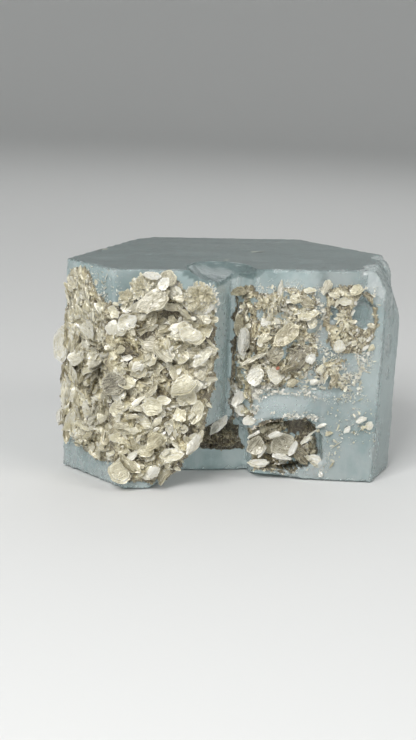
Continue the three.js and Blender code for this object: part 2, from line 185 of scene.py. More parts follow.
def scattered(
    low: np.ndarray, high: np.ndarray, spacing: float, rng: np.random.Generator
) -> np.ndarray:
    """Points spread at random in a rectangle, none nearer to another than the spacing.

    Args:
        low: Its lower corner.
        high: Its upper corner.
        spacing: Least distance between two points.
        rng: Source of random numbers.

    Returns:
        One row for each point.
    """
    darts_per_cell = 3
    size = np.ceil((high - low) / spacing * math.sqrt(2)).astype(int) + 1
    cell = spacing / math.sqrt(2)
    near = [(i, j) for i in range(-2, 3) for j in range(-2, 3)]
    taken: dict[tuple[int, int], np.ndarray] = {}
    for dart in rng.uniform(low, high, (int(size.prod() * darts_per_cell), 2)):
        i, j = ((dart - low) / cell).astype(int)
        if (i, j) in taken:
            continue
        around = (taken.get((i + a, j + b)) for a, b in near)
        if all(other is None or np.sum((other - dart) ** 2) > spacing**2 for other in around):
            taken[i, j] = dart
    return np.array(list(taken.values())).reshape(-1, 2)


# ---------------------------------------------------------------- meshes


def sheet_faces(sides: int, rings: int) -> np.ndarray:
    """Faces of a thin closed sheet whose two skins each have a middle point and some rings.

    Args:
        sides: Points in each ring.
        rings: Rings in each skin.

    Returns:
        Rows of four corners; a triangle repeats its last one.
    """
    skin = 1 + sides * rings
    here = np.arange(sides)
    following = (here + 1) % sides
    rows = []
    for start, flip in ((0, False), (skin, True)):
        a, b = start + 1 + here, start + 1 + following
        centre = np.full(sides, start)
        fan = (centre, b, a, a) if flip else (centre, a, b, b)
        rows.append(np.stack(fan, axis=1))
        for ring in range(rings - 1):
            near, far = ring * sides, (ring + 1) * sides
            quad = (a + near, a + far, b + far, b + near)
            rows.append(np.stack(quad[::-1] if flip else quad, axis=1))
    last = 1 + (rings - 1) * sides
    rim = (last + here, skin + last + here, skin + last + following, last + following)
    rows.append(np.stack(rim, axis=1))
    return np.concatenate(rows)


def placed(name: str, data: bpy.types.ID) -> bpy.types.Object:
    """A new object in the scene."""
    piece = bpy.data.objects.new(name, data)
    bpy.context.scene.collection.objects.link(piece)
    return piece


def add_values(mesh: bpy.types.Mesh, name: str, values: np.ndarray) -> None:
    """Keeps one number for each point of a mesh, under a name."""
    layer = mesh.attributes.new(name, "FLOAT", "POINT")
    layer.data.foreach_set("value", values.astype(np.float32))


KEPT_VALUES = ("tone", "gloss", "warmth", "rim", "along", "across")


@dataclass
class MeshHeap:
    """Closed shells gathered into one mesh, whose points keep the numbers that the finish reads."""

    sharp_angle: float = 38.0
    count: int = 0
    points: list[np.ndarray] = field(default_factory=list)
    faces: list[np.ndarray] = field(default_factory=list)
    values: dict[str, list[np.ndarray]] = field(
        default_factory=lambda: {name: [] for name in KEPT_VALUES}
    )

    def add(self, points: np.ndarray, faces: np.ndarray, **values: np.ndarray | float) -> None:
        """Adds a batch of shells that share their faces.

        Args:
            points: Shells by points by x, y and z.
            faces: Rows of four corners, counted from a shell's first point.
            **values: The kept numbers, for each shell and point.
        """
        shells, each = points.shape[:2]
        starts = self.count + each * np.arange(shells)
        self.points.append(points.reshape(-1, 3))
        self.faces.append((faces[None] + starts[:, None, None]).reshape(-1, 4))
        for name in KEPT_VALUES:
            self.values[name].append(np.broadcast_to(values[name], (shells, each)).ravel())
        self.count += shells * each

    def build(self, name: str, material: bpy.types.Material) -> bpy.types.Object:
        """The finished object.

        Args:
            name: Name of the piece.
            material: Its finish.

        Returns:
            The new object.
        """
        corners = np.concatenate(self.faces)
        is_quad = corners[:, 3] != corners[:, 2]
        keep = np.ones(corners.shape, bool)
        keep[:, 3] = is_quad
        starts = np.concatenate([[0], np.cumsum(3 + is_quad)[:-1]])
        mesh = bpy.data.meshes.new(name)
        mesh.vertices.add(self.count)
        mesh.vertices.foreach_set("co", (np.concatenate(self.points) * MM).ravel())
        mesh.loops.add(int(keep.sum()))
        mesh.loops.foreach_set("vertex_index", corners[keep])
        mesh.polygons.add(len(corners))
        mesh.polygons.foreach_set("loop_start", starts)
        mesh.polygons.foreach_set("use_smooth", np.ones(len(corners), bool))
        mesh.update(calc_edges=True)
        for kind, parts in self.values.items():
            add_values(mesh, kind, np.concatenate(parts))
        mesh.set_sharp_from_angle(angle=math.radians(self.sharp_angle))
        mesh.materials.append(material)
        return placed(name, mesh)


# ---------------------------------------------------------------- mica leaves


@dataclass(frozen=True)
class LeafShape:
    """How one mica leaf, or a stack of them, is shaped.

    The splay, cup, roll, ribs, wrinkle, ragged rim, stray and terrace are shares of the leaf's own
    size. The pitch is the gap between two sheets, and the splay is how far it opens on one side.
    The terrace is how far each sheet lies beyond the one above it, and the stray how far it has
    slipped. An uneven leaf has strong lobes. Breaks are straight broken edges. Dust is the number
    of small chips on each square millimetre. A bowl only curls outwards; the others may curl back.
    """

    sides: int = 12
    rings: int = 2
    pitch: float = 0.13
    splay: float = 0.0
    thickness: float = 0.10
    cup: float = 0.08
    roll: float = 0.12
    ribs: float = 0.0
    wrinkle: float = 0.015
    ragged: float = 0.07
    uneven: float = 1.0
    stray: float = 0.05
    terrace: float = 0.0
    breaks: int = 0
    dust: float = 0.0
    bowl: bool = False


CHIP = LeafShape(sides=5, rings=1, thickness=0.04, cup=0, roll=0, ragged=0.16, wrinkle=0)
NARROW = LeafShape(sides=10, roll=0.28, ragged=0.11, pitch=0.16, splay=0.04, thickness=0.05)
PETAL = LeafShape(sides=10, rings=1, roll=0.3, cup=0.2, ragged=0.09, pitch=0.12, thickness=0.04)
SCALE = LeafShape(
    sides=14, pitch=0.14, splay=0.05, thickness=0.05, cup=0.22, roll=0.26, wrinkle=0.02,
    ragged=0.08, breaks=1, terrace=0.07, dust=0.4,
)
SHELL = LeafShape(
    sides=20, rings=3, pitch=0.15, splay=0.05, thickness=0.05, cup=0.26, roll=0.26, ribs=0.05,
    wrinkle=0.02, ragged=0.06, breaks=1, terrace=0.10, dust=0.8,
)
FINE = LeafShape(
    sides=36, rings=4, pitch=0.14, splay=0.03, thickness=0.06, cup=0.10, roll=0.14, ribs=0.02,
    wrinkle=0.018, ragged=0.05, breaks=1, terrace=0.085, dust=1.5,
)
SLAB = replace(FINE, uneven=1.2, cup=0.04, roll=0.08, ragged=0.03, pitch=0.10)
OVAL = replace(FINE, breaks=0, uneven=0.5, terrace=0.04, ragged=0.02)
BOWL = replace(OVAL, uneven=0.9, cup=0.42, roll=0.2, terrace=0.03, ribs=0.01, bowl=True)
SHAPES = (CHIP, NARROW, PETAL, SCALE, SHELL, FINE)
SHEET_FACES = {(leaf.sides, leaf.rings): sheet_faces(leaf.sides, leaf.rings) for leaf in SHAPES}


@dataclass(frozen=True)
class Leaf:
    """One leaf, or a stack of them, set on a face one by one.

    The spin turns its length in the face, and the tip turns it about its length, which brings its
    lower edge outwards.
    """

    u: float
    v: float
    w: float
    length: float
    width: float
    spin: float
    tip: float
    layers: int = 4
    tone: float = 0.82
    gloss: float = 0.55
    warmth: float = 0.4
    shape: LeafShape = FINE


pair = partial(Leaf, layers=2)
oval = partial(Leaf, layers=2, shape=OVAL)
shell = partial(Leaf, layers=2, shape=SHELL)
needle = partial(Leaf, layers=1, shape=NARROW)
streak = partial(Leaf, layers=1, shape=CHIP, gloss=0.2)


@dataclass(frozen=True)
class Growth:
    """How the leaves of one size have grown: each pair is a least and a greatest value.

    The spacing is the least distance between two of them, and the lift is how far they stand out
    of the bed. Neighbours point nearly the same way; the more unruly they are, the less so. The
    rear is how steeply their far end stands off the face.
    """

    shape: LeafShape
    spacing: float
    length: Range
    width: Range
    spin: Range
    tip: Range
    lift: Range
    tone: Range
    gloss: Range = (0.3, 1.0)
    warmth: Range = (0.3, 1.0)
    layers: tuple[int, int] = (1, 2)
    unruly: float = 0.16
    rear: float = 10.0


@dataclass
class Batch:
    """Many leaves of one shape, as arrays with one row for each leaf."""

    shape: LeafShape
    at: np.ndarray
    turn: np.ndarray
    size: np.ndarray
    layers: np.ndarray
    tone: np.ndarray
    gloss: np.ndarray
    warmth: np.ndarray


def turns(spin: np.ndarray, tip: np.ndarray, rear: np.ndarray | float = 0.0) -> np.ndarray:
    """Turns by a spin in the face, and then by a rear and a tip of the leaf itself.

    Args:
        spin: Degrees about w, for each leaf.
        tip: Degrees about the length, which bring the lower edge outwards.
        rear: Degrees about the width, which bring the far end outwards.

    Returns:
        A matrix for each leaf.
    """
    reared = turned(np.broadcast_to(-np.asarray(rear, float), np.shape(spin)), 1)
    return turned(spin, 2) @ reared @ turned(-np.asarray(tip, float), 0)


def drifting(u: np.ndarray, v: np.ndarray, seed: float, size: float = 4.5) -> np.ndarray:
    """A number from 0 to 1 that changes smoothly from place to place.

    Args:
        u: First coordinates of the places.
        v: Second coordinates of the places.
        seed: Tells one field from another.
        size: How far apart two different places are.

    Returns:
        One number for each place.
    """
    cloud = [noise.noise(Vector((a / size, b / size, seed))) for a, b in zip(u, v)]
    return np.clip(0.5 + 0.85 * np.array(cloud), 0, 1)


@dataclass
class LeafMaker:
    """Turns batches of leaves into shells: the larger leaves in one heap, the flecks in another.

    A pair is a least and a greatest value, but a chip's tone and warmth are a mean difference from
    its leaf and a spread. Each reach is a share of the leaf's radius. The lobes are waves round
    the outline, with their depths.
    """

    rng: np.random.Generator
    leaves: MeshHeap
    flecks: MeshHeap
    bend: Range = (0.4, 1.6)
    bent_back: float = 0.3
    downhill_spread: float = 0.6
    lobes: tuple[tuple[int, float], ...] = ((2, 0.07), (3, 0.07), (5, 0.035))
    round_share: float = 0.45
    six_share: float = 0.55
    break_reach: Range = (0.45, 1.2)
    step_reach: Range = (0.6, 1.3)
    ring_crowding: float = 0.75
    top_reach: float = 0.88
    layer_reach: float = 0.06
    layer_ragged: float = 0.6
    reach_spread: float = 0.05
    twist: float = 0.07
    ribs: int = 9
    thin_rim: float = 0.6
    lower_layer_shade: float = 0.05
    layer_speckle: float = 0.07
    layer_warmth: float = 0.15
    streak_span: float = 90.0
    chip_length: Range = (0.2, 0.6)
    chip_shape: Range = (0.4, 0.9)
    chip_tip: float = 20.0
    chip_reach: float = 0.85
    chip_tone: Range = (0.03, 0.18)
    chip_gloss: Range = (0.2, 1)
    chip_warmth: Range = (0, 0.2)

    def make(self, face: PrismFace, batch: Batch) -> None:
        """Adds every sheet of a batch, and the dust on it.

        Args:
            face: The face that it grows from.
            batch: The leaves.
        """
        if not len(batch.at):
            return
        shape, rng, count = batch.shape, self.rng, len(batch.at)
        small = shape.rings == 1 or shape.sides < 10
        heap = self.flecks if small else self.leaves
        outline = self.outlines(shape, count)
        bend = rng.uniform(*self.bend, (count, 3))
        bend = bend * rng.choice([-1, 1], (count, 3), p=[self.bent_back, 1 - self.bent_back])
        if shape.bowl:
            bend = np.abs(bend)
        downhill = rng.normal(-TAU / 4, self.downhill_spread, (count, 1))
        side = shape.terrace * np.concatenate([np.cos(downhill), np.sin(downhill)], axis=1)
        for layer in range(int(batch.layers.max())):
            on = batch.layers > layer
            points, rim = self.sheets(shape, batch.size[on], outline[on], bend[on], side[on], layer)
            spots = np.einsum("nij,nkj->nki", batch.turn[on], points) + batch.at[on][:, None]
            # Each lower sheet of a stack is painted darker, as shade under the sheets above it.
            tone = batch.tone[on][:, None] - self.lower_layer_shade * layer
            if layer:
                tone = tone + rng.normal(0, self.layer_speckle, (len(tone), 1))
            start = rng.uniform(0, self.streak_span, (2, len(tone), 1))
            heap.add(
                face.place(spots),
                SHEET_FACES[shape.sides, shape.rings],
                tone=np.clip(tone, 0, 1),
                gloss=batch.gloss[on][:, None],
                warmth=np.clip(batch.warmth[on][:, None] + self.layer_warmth * layer, 0, 1),
                rim=rim,
                along=points[..., 0] + start[0],
                across=points[..., 1] + start[1],
            )
        if shape.dust:
            self.dust(face, batch, bend)

    def outlines(self, shape: LeafShape, count: int) -> np.ndarray:
        """The outlines of leaves, between that of a round and of a six-sided plate.

        Args:
            shape: The leaves' shape.
            count: How many leaves.

        Returns:
            The radius of each leaf at each side.
        """
        rng = self.rng
        angle = TAU * np.arange(shape.sides) / shape.sides
        start = rng.uniform(0, 1, (count, 1))
        six = math.cos(math.pi / 6) / np.cos((angle + start) % (math.pi / 3) - math.pi / 6)
        radius = self.round_share + self.six_share * six
        for waves, depth in self.lobes:
            wave = np.cos(waves * angle + rng.uniform(0, TAU, (count, 1)))
            radius = radius + shape.uneven * depth * wave
        for _ in range(shape.breaks):
            radius = self.broken(radius, self.break_reach)
        return radius * (1 + shape.ragged * rng.normal(0, 1, radius.shape))

    def broken(self, radius: np.ndarray, reach: Range) -> np.ndarray:
        """Breaks one straight edge off each outline.

        Args:
            radius: The radius of each leaf at each side.
            reach: Least and greatest distance of the edge, as a share of the radius.

        Returns:
            The new radius of each leaf at each side.
        """
        rng, (count, sides) = self.rng, radius.shape
        least = 0.05
        facing = np.cos(TAU * np.arange(sides) / sides - rng.uniform(0, TAU, (count, 1)))
        cut = rng.uniform(*reach, (count, 1)) / np.maximum(facing, least)
        return np.where(facing > least, np.minimum(radius, cut), radius)

    def rise(self, shape: LeafShape, bend: np.ndarray, x: np.ndarray, y: np.ndarray) -> np.ndarray:
        """How far leaves stand out of their own plane, as a share of half their length."""
        cup = shape.cup * bend[:, :1] * (x * x + y * y)
        roll = shape.roll * bend[:, 1:2] * y * np.abs(y)
        return cup + roll + self.twist * bend[:, 2:] * x * y

    def sheets(
        self,
        shape: LeafShape,
        size: np.ndarray,
        outline: np.ndarray,
        bend: np.ndarray,
        side: np.ndarray,
        layer: int,
    ) -> tuple[np.ndarray, np.ndarray]:
        """Points of one sheet of each stack, before they are turned and placed.

        Args:
            shape: The leaves' shape.
            size: Length and width of each leaf.
            outline: Radius of each leaf at each side.
            bend: How strongly each leaf cups, rolls and twists.
            side: How far, and to which side, each sheet lies beyond the one above it.
            layer: Which sheet of the stacks, from the top.

        Returns:
            The points of each sheet, and how near each point is to the rim, from 0 to 1.
        """
        rng, count, half_size = self.rng, len(size), size / 2
        angle = TAU * np.arange(shape.sides) / shape.sides
        reach = (np.arange(1, shape.rings + 1) / shape.rings) ** self.ring_crowding
        grown = outline * (1 + self.layer_ragged * shape.ragged * rng.normal(0, 1, outline.shape))
        spare = rng.uniform(-self.reach_spread, self.reach_spread, (count, 1))
        grown = grown * (self.top_reach + self.layer_reach * layer + spare)
        if shape.breaks:
            grown = self.broken(grown, self.step_reach)
        zero = np.zeros((count, 1))
        spread = reach[None, :, None] * grown[:, None, :]
        x = np.concatenate([zero, (spread * np.cos(angle)).reshape(count, -1)], axis=1)
        y = np.concatenate([zero, (spread * np.sin(angle)).reshape(count, -1)], axis=1)
        near_rim = np.concatenate([[0], np.repeat(reach, shape.sides)])
        rim = near_rim**3
        ribbing = np.cos(angle * self.ribs + 5 * bend[:, :1])
        ribbing = np.concatenate([zero, np.tile(ribbing, (1, shape.rings))], axis=1)
        mid = self.rise(shape, bend, x, y) + shape.ribs * ribbing * rim
        mid = mid + shape.wrinkle * rng.normal(0, 1, mid.shape)
        opening = shape.pitch + shape.splay * (1 + y) * size[:, :1] / 4
        mid = mid * size[:, :1] / 2 - layer * opening
        shift = layer * side + rng.normal(0, shape.stray, (count, 2)) * (layer > 0)
        x = (x + shift[:, :1]) * half_size[:, :1]
        y = (y + shift[:, 1:]) * half_size[:, 1:]
        half = shape.thickness * (1 - self.thin_rim * rim) / 2
        upper = np.stack([x, y, mid + half], axis=2)
        lower = np.stack([x, y, mid - half], axis=2)
        return np.concatenate([upper, lower], axis=1), np.concatenate([near_rim, near_rim])

    def dust(self, face: PrismFace, batch: Batch, bend: np.ndarray) -> None:
        """Adds small chips that lie on the leaves of a batch.

        Args:
            face: The face that the batch grows from.
            batch: The leaves.
            bend: How strongly each leaf cups, rolls and twists.
        """
        rng, shape = self.rng, batch.shape
        wanted = batch.size.prod(axis=1) * math.pi / 4 * shape.dust
        owner = np.repeat(np.arange(len(wanted)), rng.poisson(wanted))
        count = len(owner)
        angle = rng.uniform(0, TAU, count)
        reach = self.chip_reach * np.sqrt(rng.uniform(0, 1, count))
        x, y = reach * np.cos(angle), reach * np.sin(angle)
        rise = self.rise(shape, bend[owner], x[:, None], y[:, None])[:, 0]
        half = batch.size[owner] / 2
        above = rise * half[:, 0] + shape.thickness
        local = np.stack([x * half[:, 0], y * half[:, 1], above], axis=1)
        turn = batch.turn[owner]
        own = turns(rng.uniform(0, 360, count), rng.normal(0, self.chip_tip, count))
        length = rng.uniform(*self.chip_length, count)
        chips = Batch(
            shape=CHIP,
            at=batch.at[owner] + np.einsum("nij,nj->ni", turn, local),
            turn=turn @ own,
            size=np.stack([length, length * rng.uniform(*self.chip_shape, count)], axis=1),
            layers=np.ones(count, int),
            tone=np.clip(batch.tone[owner] + rng.normal(*self.chip_tone, count), 0, 1),
            gloss=rng.uniform(*self.chip_gloss, count),
            warmth=np.clip(batch.warmth[owner] + rng.normal(*self.chip_warmth, count), 0, 1),
        )
        self.make(face, chips)


class Habit(Enum):
    """The ways in which mica has grown on this crystal."""

    SCALES = (
        Growth(SHELL, 3.2, (3.4, 6.4), (2.8, 5.4), (-40, 70), (0, 50), (0.0, 1.1), (0.50, 0.88),
               layers=(1, 3)),
        Growth(SCALE, 2.4, (2.0, 4.2), (1.6, 3.2), (-60, 90), (5, 66), (-0.1, 1.0), (0.45, 0.92),
               layers=(1, 2)),
        Growth(NARROW, 1.9, (1.6, 4.0), (0.4, 1.2), (-70, 80), (40, 90), (-0.1, 1.1), (0.5, 0.98),
               layers=(1, 2)),
        Growth(CHIP, 0.44, (0.25, 0.9), (0.12, 0.4), (-120, 120), (-40, 60), (0.0, 0.3),
               (0.45, 0.95), (0.4, 1.0), layers=(1, 1), unruly=0.3),
    )
    GLINTS = (
        Growth(SCALE, 2.0, (0.9, 2.2), (0.6, 1.4), (-40, 60), (10, 50), (0.6, 1.5), (0.95, 1.0),
               (0.8, 1.0), (0.0, 0.3), layers=(1, 2)),
        Growth(CHIP, 0.7, (0.5, 1.3), (0.3, 0.8), (-90, 90), (0, 50), (0.4, 1.3), (0.95, 1.0),
               (0.8, 1.0), (0.0, 0.2), layers=(1, 1), unruly=0.4),
    )
    SHAG = (
        Growth(SCALE, 2.2, (2.4, 5.0), (0.8, 1.8), (-66, -36), (5, 60), (0.0, 0.5), (0.6, 0.92),
               layers=(1, 3)),
        Growth(NARROW, 0.85, (1.4, 3.6), (0.25, 0.7), (-70, -30), (0, 60), (0.0, 0.5), (0.6, 1.0)),
        Growth(CHIP, 0.36, (0.3, 1.1), (0.10, 0.3), (-75, -25), (-40, 60), (0.0, 0.5), (0.6, 1.0),
               (0.4, 1.0), layers=(1, 1)),
    )
    BOOKS = (
        Growth(SCALE, 2.3, (5.0, 9.0), (1.4, 2.6), (74, 102), (-66, 60), (-0.2, 0.7), (0.42, 0.95),
               warmth=(0.6, 1.0), layers=(2, 4), rear=3),
        Growth(NARROW, 1.2, (2.6, 6.0), (0.4, 1.1), (70, 106), (-80, 80), (-0.1, 0.5), (0.3, 0.95),
               warmth=(0.6, 1.0), layers=(1, 3), rear=3),
        Growth(CHIP, 0.6, (0.3, 0.9), (0.12, 0.35), (50, 120), (-50, 60), (0.0, 0.4),
               (0.45, 1.0), (0.4, 1.0), layers=(1, 1), unruly=0.5),
    )
    FANS = (
        Growth(SHELL, 3.2, (3.6, 6.8), (2.8, 5.2), (-50, 80), (5, 56), (0.0, 1.1), (0.55, 0.92),
               warmth=(0.6, 1.0), layers=(1, 3)),
        Growth(SCALE, 2.4, (2.0, 4.4), (1.4, 3.0), (-60, 100), (5, 70), (-0.1, 1.0), (0.5, 0.95),
               warmth=(0.5, 1.0), layers=(1, 2)),
        Growth(NARROW, 1.8, (1.4, 3.6), (0.4, 1.2), (-80, 90), (40, 90), (-0.1, 1.0), (0.5, 0.98)),
        Growth(CHIP, 0.44, (0.25, 0.9), (0.12, 0.4), (-120, 120), (-40, 60), (0.0, 0.3), (0.45, 1.0),
               (0.4, 1.0), layers=(1, 1), unruly=0.3),
    )
    CRUMBS = (
        Growth(SCALE, 2.1, (1.4, 3.6), (0.8, 2.2), (-90, 90), (0, 76), (-0.1, 0.5), (0.5, 0.92),
               layers=(1, 2)),
        Growth(NARROW, 1.3, (1.0, 2.6), (0.3, 0.8), (-120, 120), (-50, 88), (-0.1, 0.5),
               (0.45, 1.0)),
        Growth(CHIP, 0.40, (0.2, 0.7), (0.12, 0.4), (-180, 180), (-60, 60), (-0.1, 0.5), (0.45, 1.0),
               (0.4, 1.0), layers=(1, 1), unruly=0.5),
    )
    BLADES = (
        Growth(NARROW, 1.0, (1.8, 4.4), (0.3, 0.9), (66, 108), (10, 84), (0.1, 0.9), (0.5, 0.98),
               warmth=(0.7, 1.0), layers=(1, 3)),
        Growth(CHIP, 0.5, (0.3, 1.1), (0.12, 0.4), (40, 120), (-60, 80), (0.0, 0.7), (0.5, 1.0),
               (0.4, 1.0), layers=(1, 1)),
    )
    # Dark brown crumbs for the groove and recesses: partly the mica's own brown, partly painted
    # shade.
    DARK_CRUMBS = (
        Growth(NARROW, 1.2, (0.8, 2.0), (0.4, 1.2), (-180, 180), (-40, 70), (-0.1, 0.4),
               (0.10, 0.45), (0.0, 0.4), layers=(1, 2)),
        Growth(CHIP, 0.6, (0.3, 0.9), (0.2, 0.6), (-180, 180), (-80, 80), (-0.1, 0.4), (0.08, 0.5),
               (0.0, 0.5), layers=(1, 1)),
    )
    FLECKS = (
        Growth(NARROW, 1.3, (0.9, 2.6), (0.4, 1.1), (-180, 180), (-40, 60), (0.1, 0.5),
               (0.75, 1.0), (0.5, 1.0), (0.0, 1.0)),
        Growth(CHIP, 0.5, (0.4, 1.2), (0.2, 0.7), (-180, 180), (-60, 60), (0.0, 0.3),
               (0.8, 1.0), (0.6, 1.0), (0.0, 0.6), layers=(1, 1), unruly=0.5),
    )
    SNOW = (
        Growth(CHIP, 0.4, (1.4, 3.4), (0.9, 2.2), (-180, 180), (-60, 70), (0.4, 1.2),
               (0.95, 1.0), (0.5, 1.0), (0.0, 0.2), layers=(1, 1), unruly=0.5),
    )
    SPARKLES = (
        Growth(CHIP, 0.36, (0.35, 1.2), (0.2, 0.7), (-180, 180), (-50, 60), (0.0, 0.3),
               (0.92, 1.0), (0.7, 1.0), (0.0, 0.2), layers=(1, 1), unruly=0.5),
    )


@dataclass(frozen=True)
class Drift:
    """An area in which mica of one habit grows; it is sparse where a share of it is left out."""

    outline: Outline
    habit: Habit
    sparse: float = 0.0


@dataclass(frozen=True)
class Hollow:
    """A sunken gap in the leaves, with painted shade: its place on the face, radius and depth."""

    u: float
    v: float
    radius: float
    depth: float = 1.6


@dataclass(frozen=True)
class Rosette:
    """Leaves that open outwards round a middle, at u, v and w.

    The rear is how steeply their far ends stand up: the outermost leaves' first, and then the
    innermost ones'. The size is a usual leaf's length and width, and the sizes are shares of it.
    The dome is how high the middle is. Unruly are the spin, tip and rear.
    """

    at: Place
    radius: float
    leaves: int
    rear: Range
    size: tuple[float, float]
    tone: Range
    warmth: Range
    dome: float = 1.0
    spread: Range = (0.8, 1.1)
    unruly: Place = (30, 16, 8)
    sizes: Range = (0.5, 1.3)
    gloss: Range = (0.2, 0.8)


@dataclass(frozen=True)
class Patch:
    """Mica on one face: a bed of overlapping scales, and what stands out of it.

    Without an outline there is no bed. The shingle is how high the bed's scales are. The higher
    the bare value, from -1, the more of the crystal shows. A snug patch follows the hollows and
    swellings of the crystal.
    """

    face: PrismFace
    outline: Outline = ()
    depth: float = 0.0
    drifts: tuple[Drift, ...] = ()
    leaves: tuple[Leaf, ...] = ()
    rosettes: tuple[Rosette, ...] = ()
    hollows: tuple[Hollow, ...] = ()
    windows: tuple[Outline, ...] = ()
    bed_tone: float = 0.62
    shingle: float = 0.9
    bare: float = -1.0
    snug: bool = False


@dataclass
class Ground:
    """The beryl's own surface, for mica that follows its every hollow."""

    source: bpy.types.Object
    reach: float = 8.0

    def __post_init__(self) -> None:
        """Reads the beryl's solid."""
        mesh = self.source.data
        corners = [vertex.co for vertex in mesh.vertices]
        self.faces = BVHTree.FromPolygons(corners, [face.vertices for face in mesh.polygons])

    def under(self, face: PrismFace, u: np.ndarray, v: np.ndarray) -> np.ndarray:
        """How far the surface stands out of a face.

        Args:
            face: The face.
            u: Places along it.
            v: Places up it.

        Returns:
            The distance at each place; not a number where there is no surface.
        """
        inward = Vector(-face.axes()[:, 2])
        above = np.stack([np.ravel(u), np.ravel(v), np.full(np.size(u), self.reach)], axis=1)
        hits = (
            self.faces.ray_cast(Vector(start), inward, 2 * self.reach * MM)[3]
            for start in face.place(above) * MM
        )
        depths = [math.nan if gap is None else self.reach - gap / MM for gap in hits]
        return np.array(depths).reshape(np.shape(u))


@dataclass
class MicaCluster:
    """One cluster of mica, built from its patches. It stands for a solid, if the node is given."""

    name: str
    node: str | None
    patches: tuple[Patch, ...]
    seed: int
    ground: Ground
    bed_pitch: float = 0.33
    bed_root: float = 0.25
    bed_jitter: float = 0.3
    speckle: float = 0.05
    rim_slope: float = 2.0
    least_height: float = 0.1
    flat_share: float = 0.55
    lump_sizes: Range = (3.4, 1.1)
    lump_shares: Range = (0.4, 0.2)
    shingle_sizes: Range = (3.3, 1.3)
    # Painted light on the raised edges of the bed's scales, coarse and fine.
    shingle_crest_light: Range = (0.24, 0.14)
    shingle_middle: float = 0.7
    fine_shingles: float = 0.45
    # Brightness left where the bed lies lowest: painted shade in its hollows.
    shaded_bottom_brightness: float = 0.14
    bare_sizes: Range = (2.8, 0.9)
    streak_size: float = 2.4
    streak_slant: float = 0.4
    margin: float = 2.5
    hollow_rim: float = 0.7
    fit_reach: float = 4.0
    least_fit: float = 0.35
    # Painted shade for the leaves that stand out least.
    deep_shade: float = 0.12
    rear_spread: float = 12.0

    def __post_init__(self) -> None:
        """Starts its random numbers and its heaps."""
        self.rng = np.random.default_rng(self.seed)
        self.leaves, self.flecks = MeshHeap(), MeshHeap()
        self.maker = LeafMaker(self.rng, self.leaves, self.flecks)

    def build(self, finish: bpy.types.Material) -> list[bpy.types.Object]:
        """Grows every patch and places the pieces.

        Args:
            finish: The mica's material.

        Returns:
            The finished pieces, riding on the body.
        """
        for patch in self.patches:
            if patch.outline:
                self.lay_bed(patch)
            for drift in patch.drifts:
                for growth in drift.habit.value:
                    self.grow(patch, drift, growth)
            for index, leaf in enumerate(patch.leaves):
                self.set_leaf(patch.face, leaf, self.seed + index)
            for rosette in patch.rosettes:
                self.open_rosette(patch.face, rosette)
        pieces = []
        for part, heap in (("leaves", self.leaves), ("flecks", self.flecks)):
            if not heap.count:
                continue
            piece = heap.build(f"{self.name}_{part}", finish)
            if self.node:
                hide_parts(self.node)
            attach(piece, BODY)
            pieces.append(piece)
        return pieces

    def height(self, patch: Patch, u: np.ndarray, v: np.ndarray) -> np.ndarray:
        """How far the bed of a patch stands out of its face.

        Args:
            patch: The patch.
            u: Places along the face.
            v: Places up the face.

        Returns:
            The height at each place.
        """
        rim = distance_to_rim(patch.outline, u, v)
        for window in patch.windows:
            rim = np.minimum(rim, distance_to_rim(window, u, v))
        rise = np.clip(rim / self.rim_slope, 0, 1)
        share: float | np.ndarray = self.flat_share
        for size, weight in zip(self.lump_sizes, self.lump_shares):
            share = share + weight * self.cloud(u, v, size, patch.depth)
        height = patch.depth * rise * share
        coarse, fine = (self.shingles(patch, u, v, size) for size in self.shingle_sizes)
        scales = coarse + self.fine_shingles * fine
        height = height + patch.shingle * rise * (scales - self.shingle_middle)
        for hollow in patch.hollows:
            gap = np.hypot(u - hollow.u, v - hollow.v) / hollow.radius
            height = height - hollow.depth * np.exp(-gap * gap)
        return np.maximum(height, 0) + self.least_height

    def level(self, patch: Patch, u: np.ndarray, v: np.ndarray) -> np.ndarray:
        """How far the ground under a patch stands out of its face."""
        return self.ground.under(patch.face, u, v) if patch.snug else np.zeros(np.shape(u))

    def cloud(self, u: np.ndarray, v: np.ndarray, size: float, seed: float) -> np.ndarray:
        """Smooth random numbers, about from -1 to 1.

        Args:
            u: Places along the face.
            v: Places up the face.
            size: Size of its lumps.
            seed: Tells one cloud from another.

        Returns:
            A number for each place.
        """
        places = zip(np.ravel(u) / size, np.ravel(v) / size)
        cloud = [noise.noise(Vector((a, b, seed * 7.1 + size))) for a, b in places]
        return 2.0 * np.array(cloud).reshape(np.shape(u))

    def shingles(self, patch: Patch, u: np.ndarray, v: np.ndarray, size: float) -> np.ndarray:
        """Overlapping scales: each rises slowly from 0 and drops at 1, along curved rims.

        Args:
            patch: The patch.
            u: Places along the face.
            v: Places up the face.
            size: How long the scales are.

        Returns:
            How far up its own scale each place is.
        """
        bent = self.cloud(u, v, 0.8 * size, patch.depth + 1)
        frayed = self.cloud(u, v, 0.3 * size, patch.depth)
        return ((0.4 * u - v) / size + 0.75 * bent + 0.3 * frayed) % 1.0

    def covers(self, patch: Patch, outline: Outline, u: np.ndarray, v: np.ndarray) -> np.ndarray:
        """Which places are inside an outline, with a natural rim, and outside the windows.

        Args:
            patch: The patch.
            outline: The outline, of the patch or of a drift in it.
            u: Places along the face.
            v: Places up the face.

        Returns:
            True for each place that is covered.
        """
        near_u, near_v = wander(u, v)
        found = inside(outline, near_u, near_v)
        if patch.outline:
            found &= inside(patch.outline, near_u, near_v)
        for window in patch.windows:
            found &= ~inside(window, u, v)
        if patch.bare > -1:
            clouds = (self.cloud(u, v, size, 5.3 + patch.depth) for size in self.bare_sizes)
            coarse, fine = clouds
            found &= 0.5 * coarse + 0.25 * fine > patch.bare
        return found

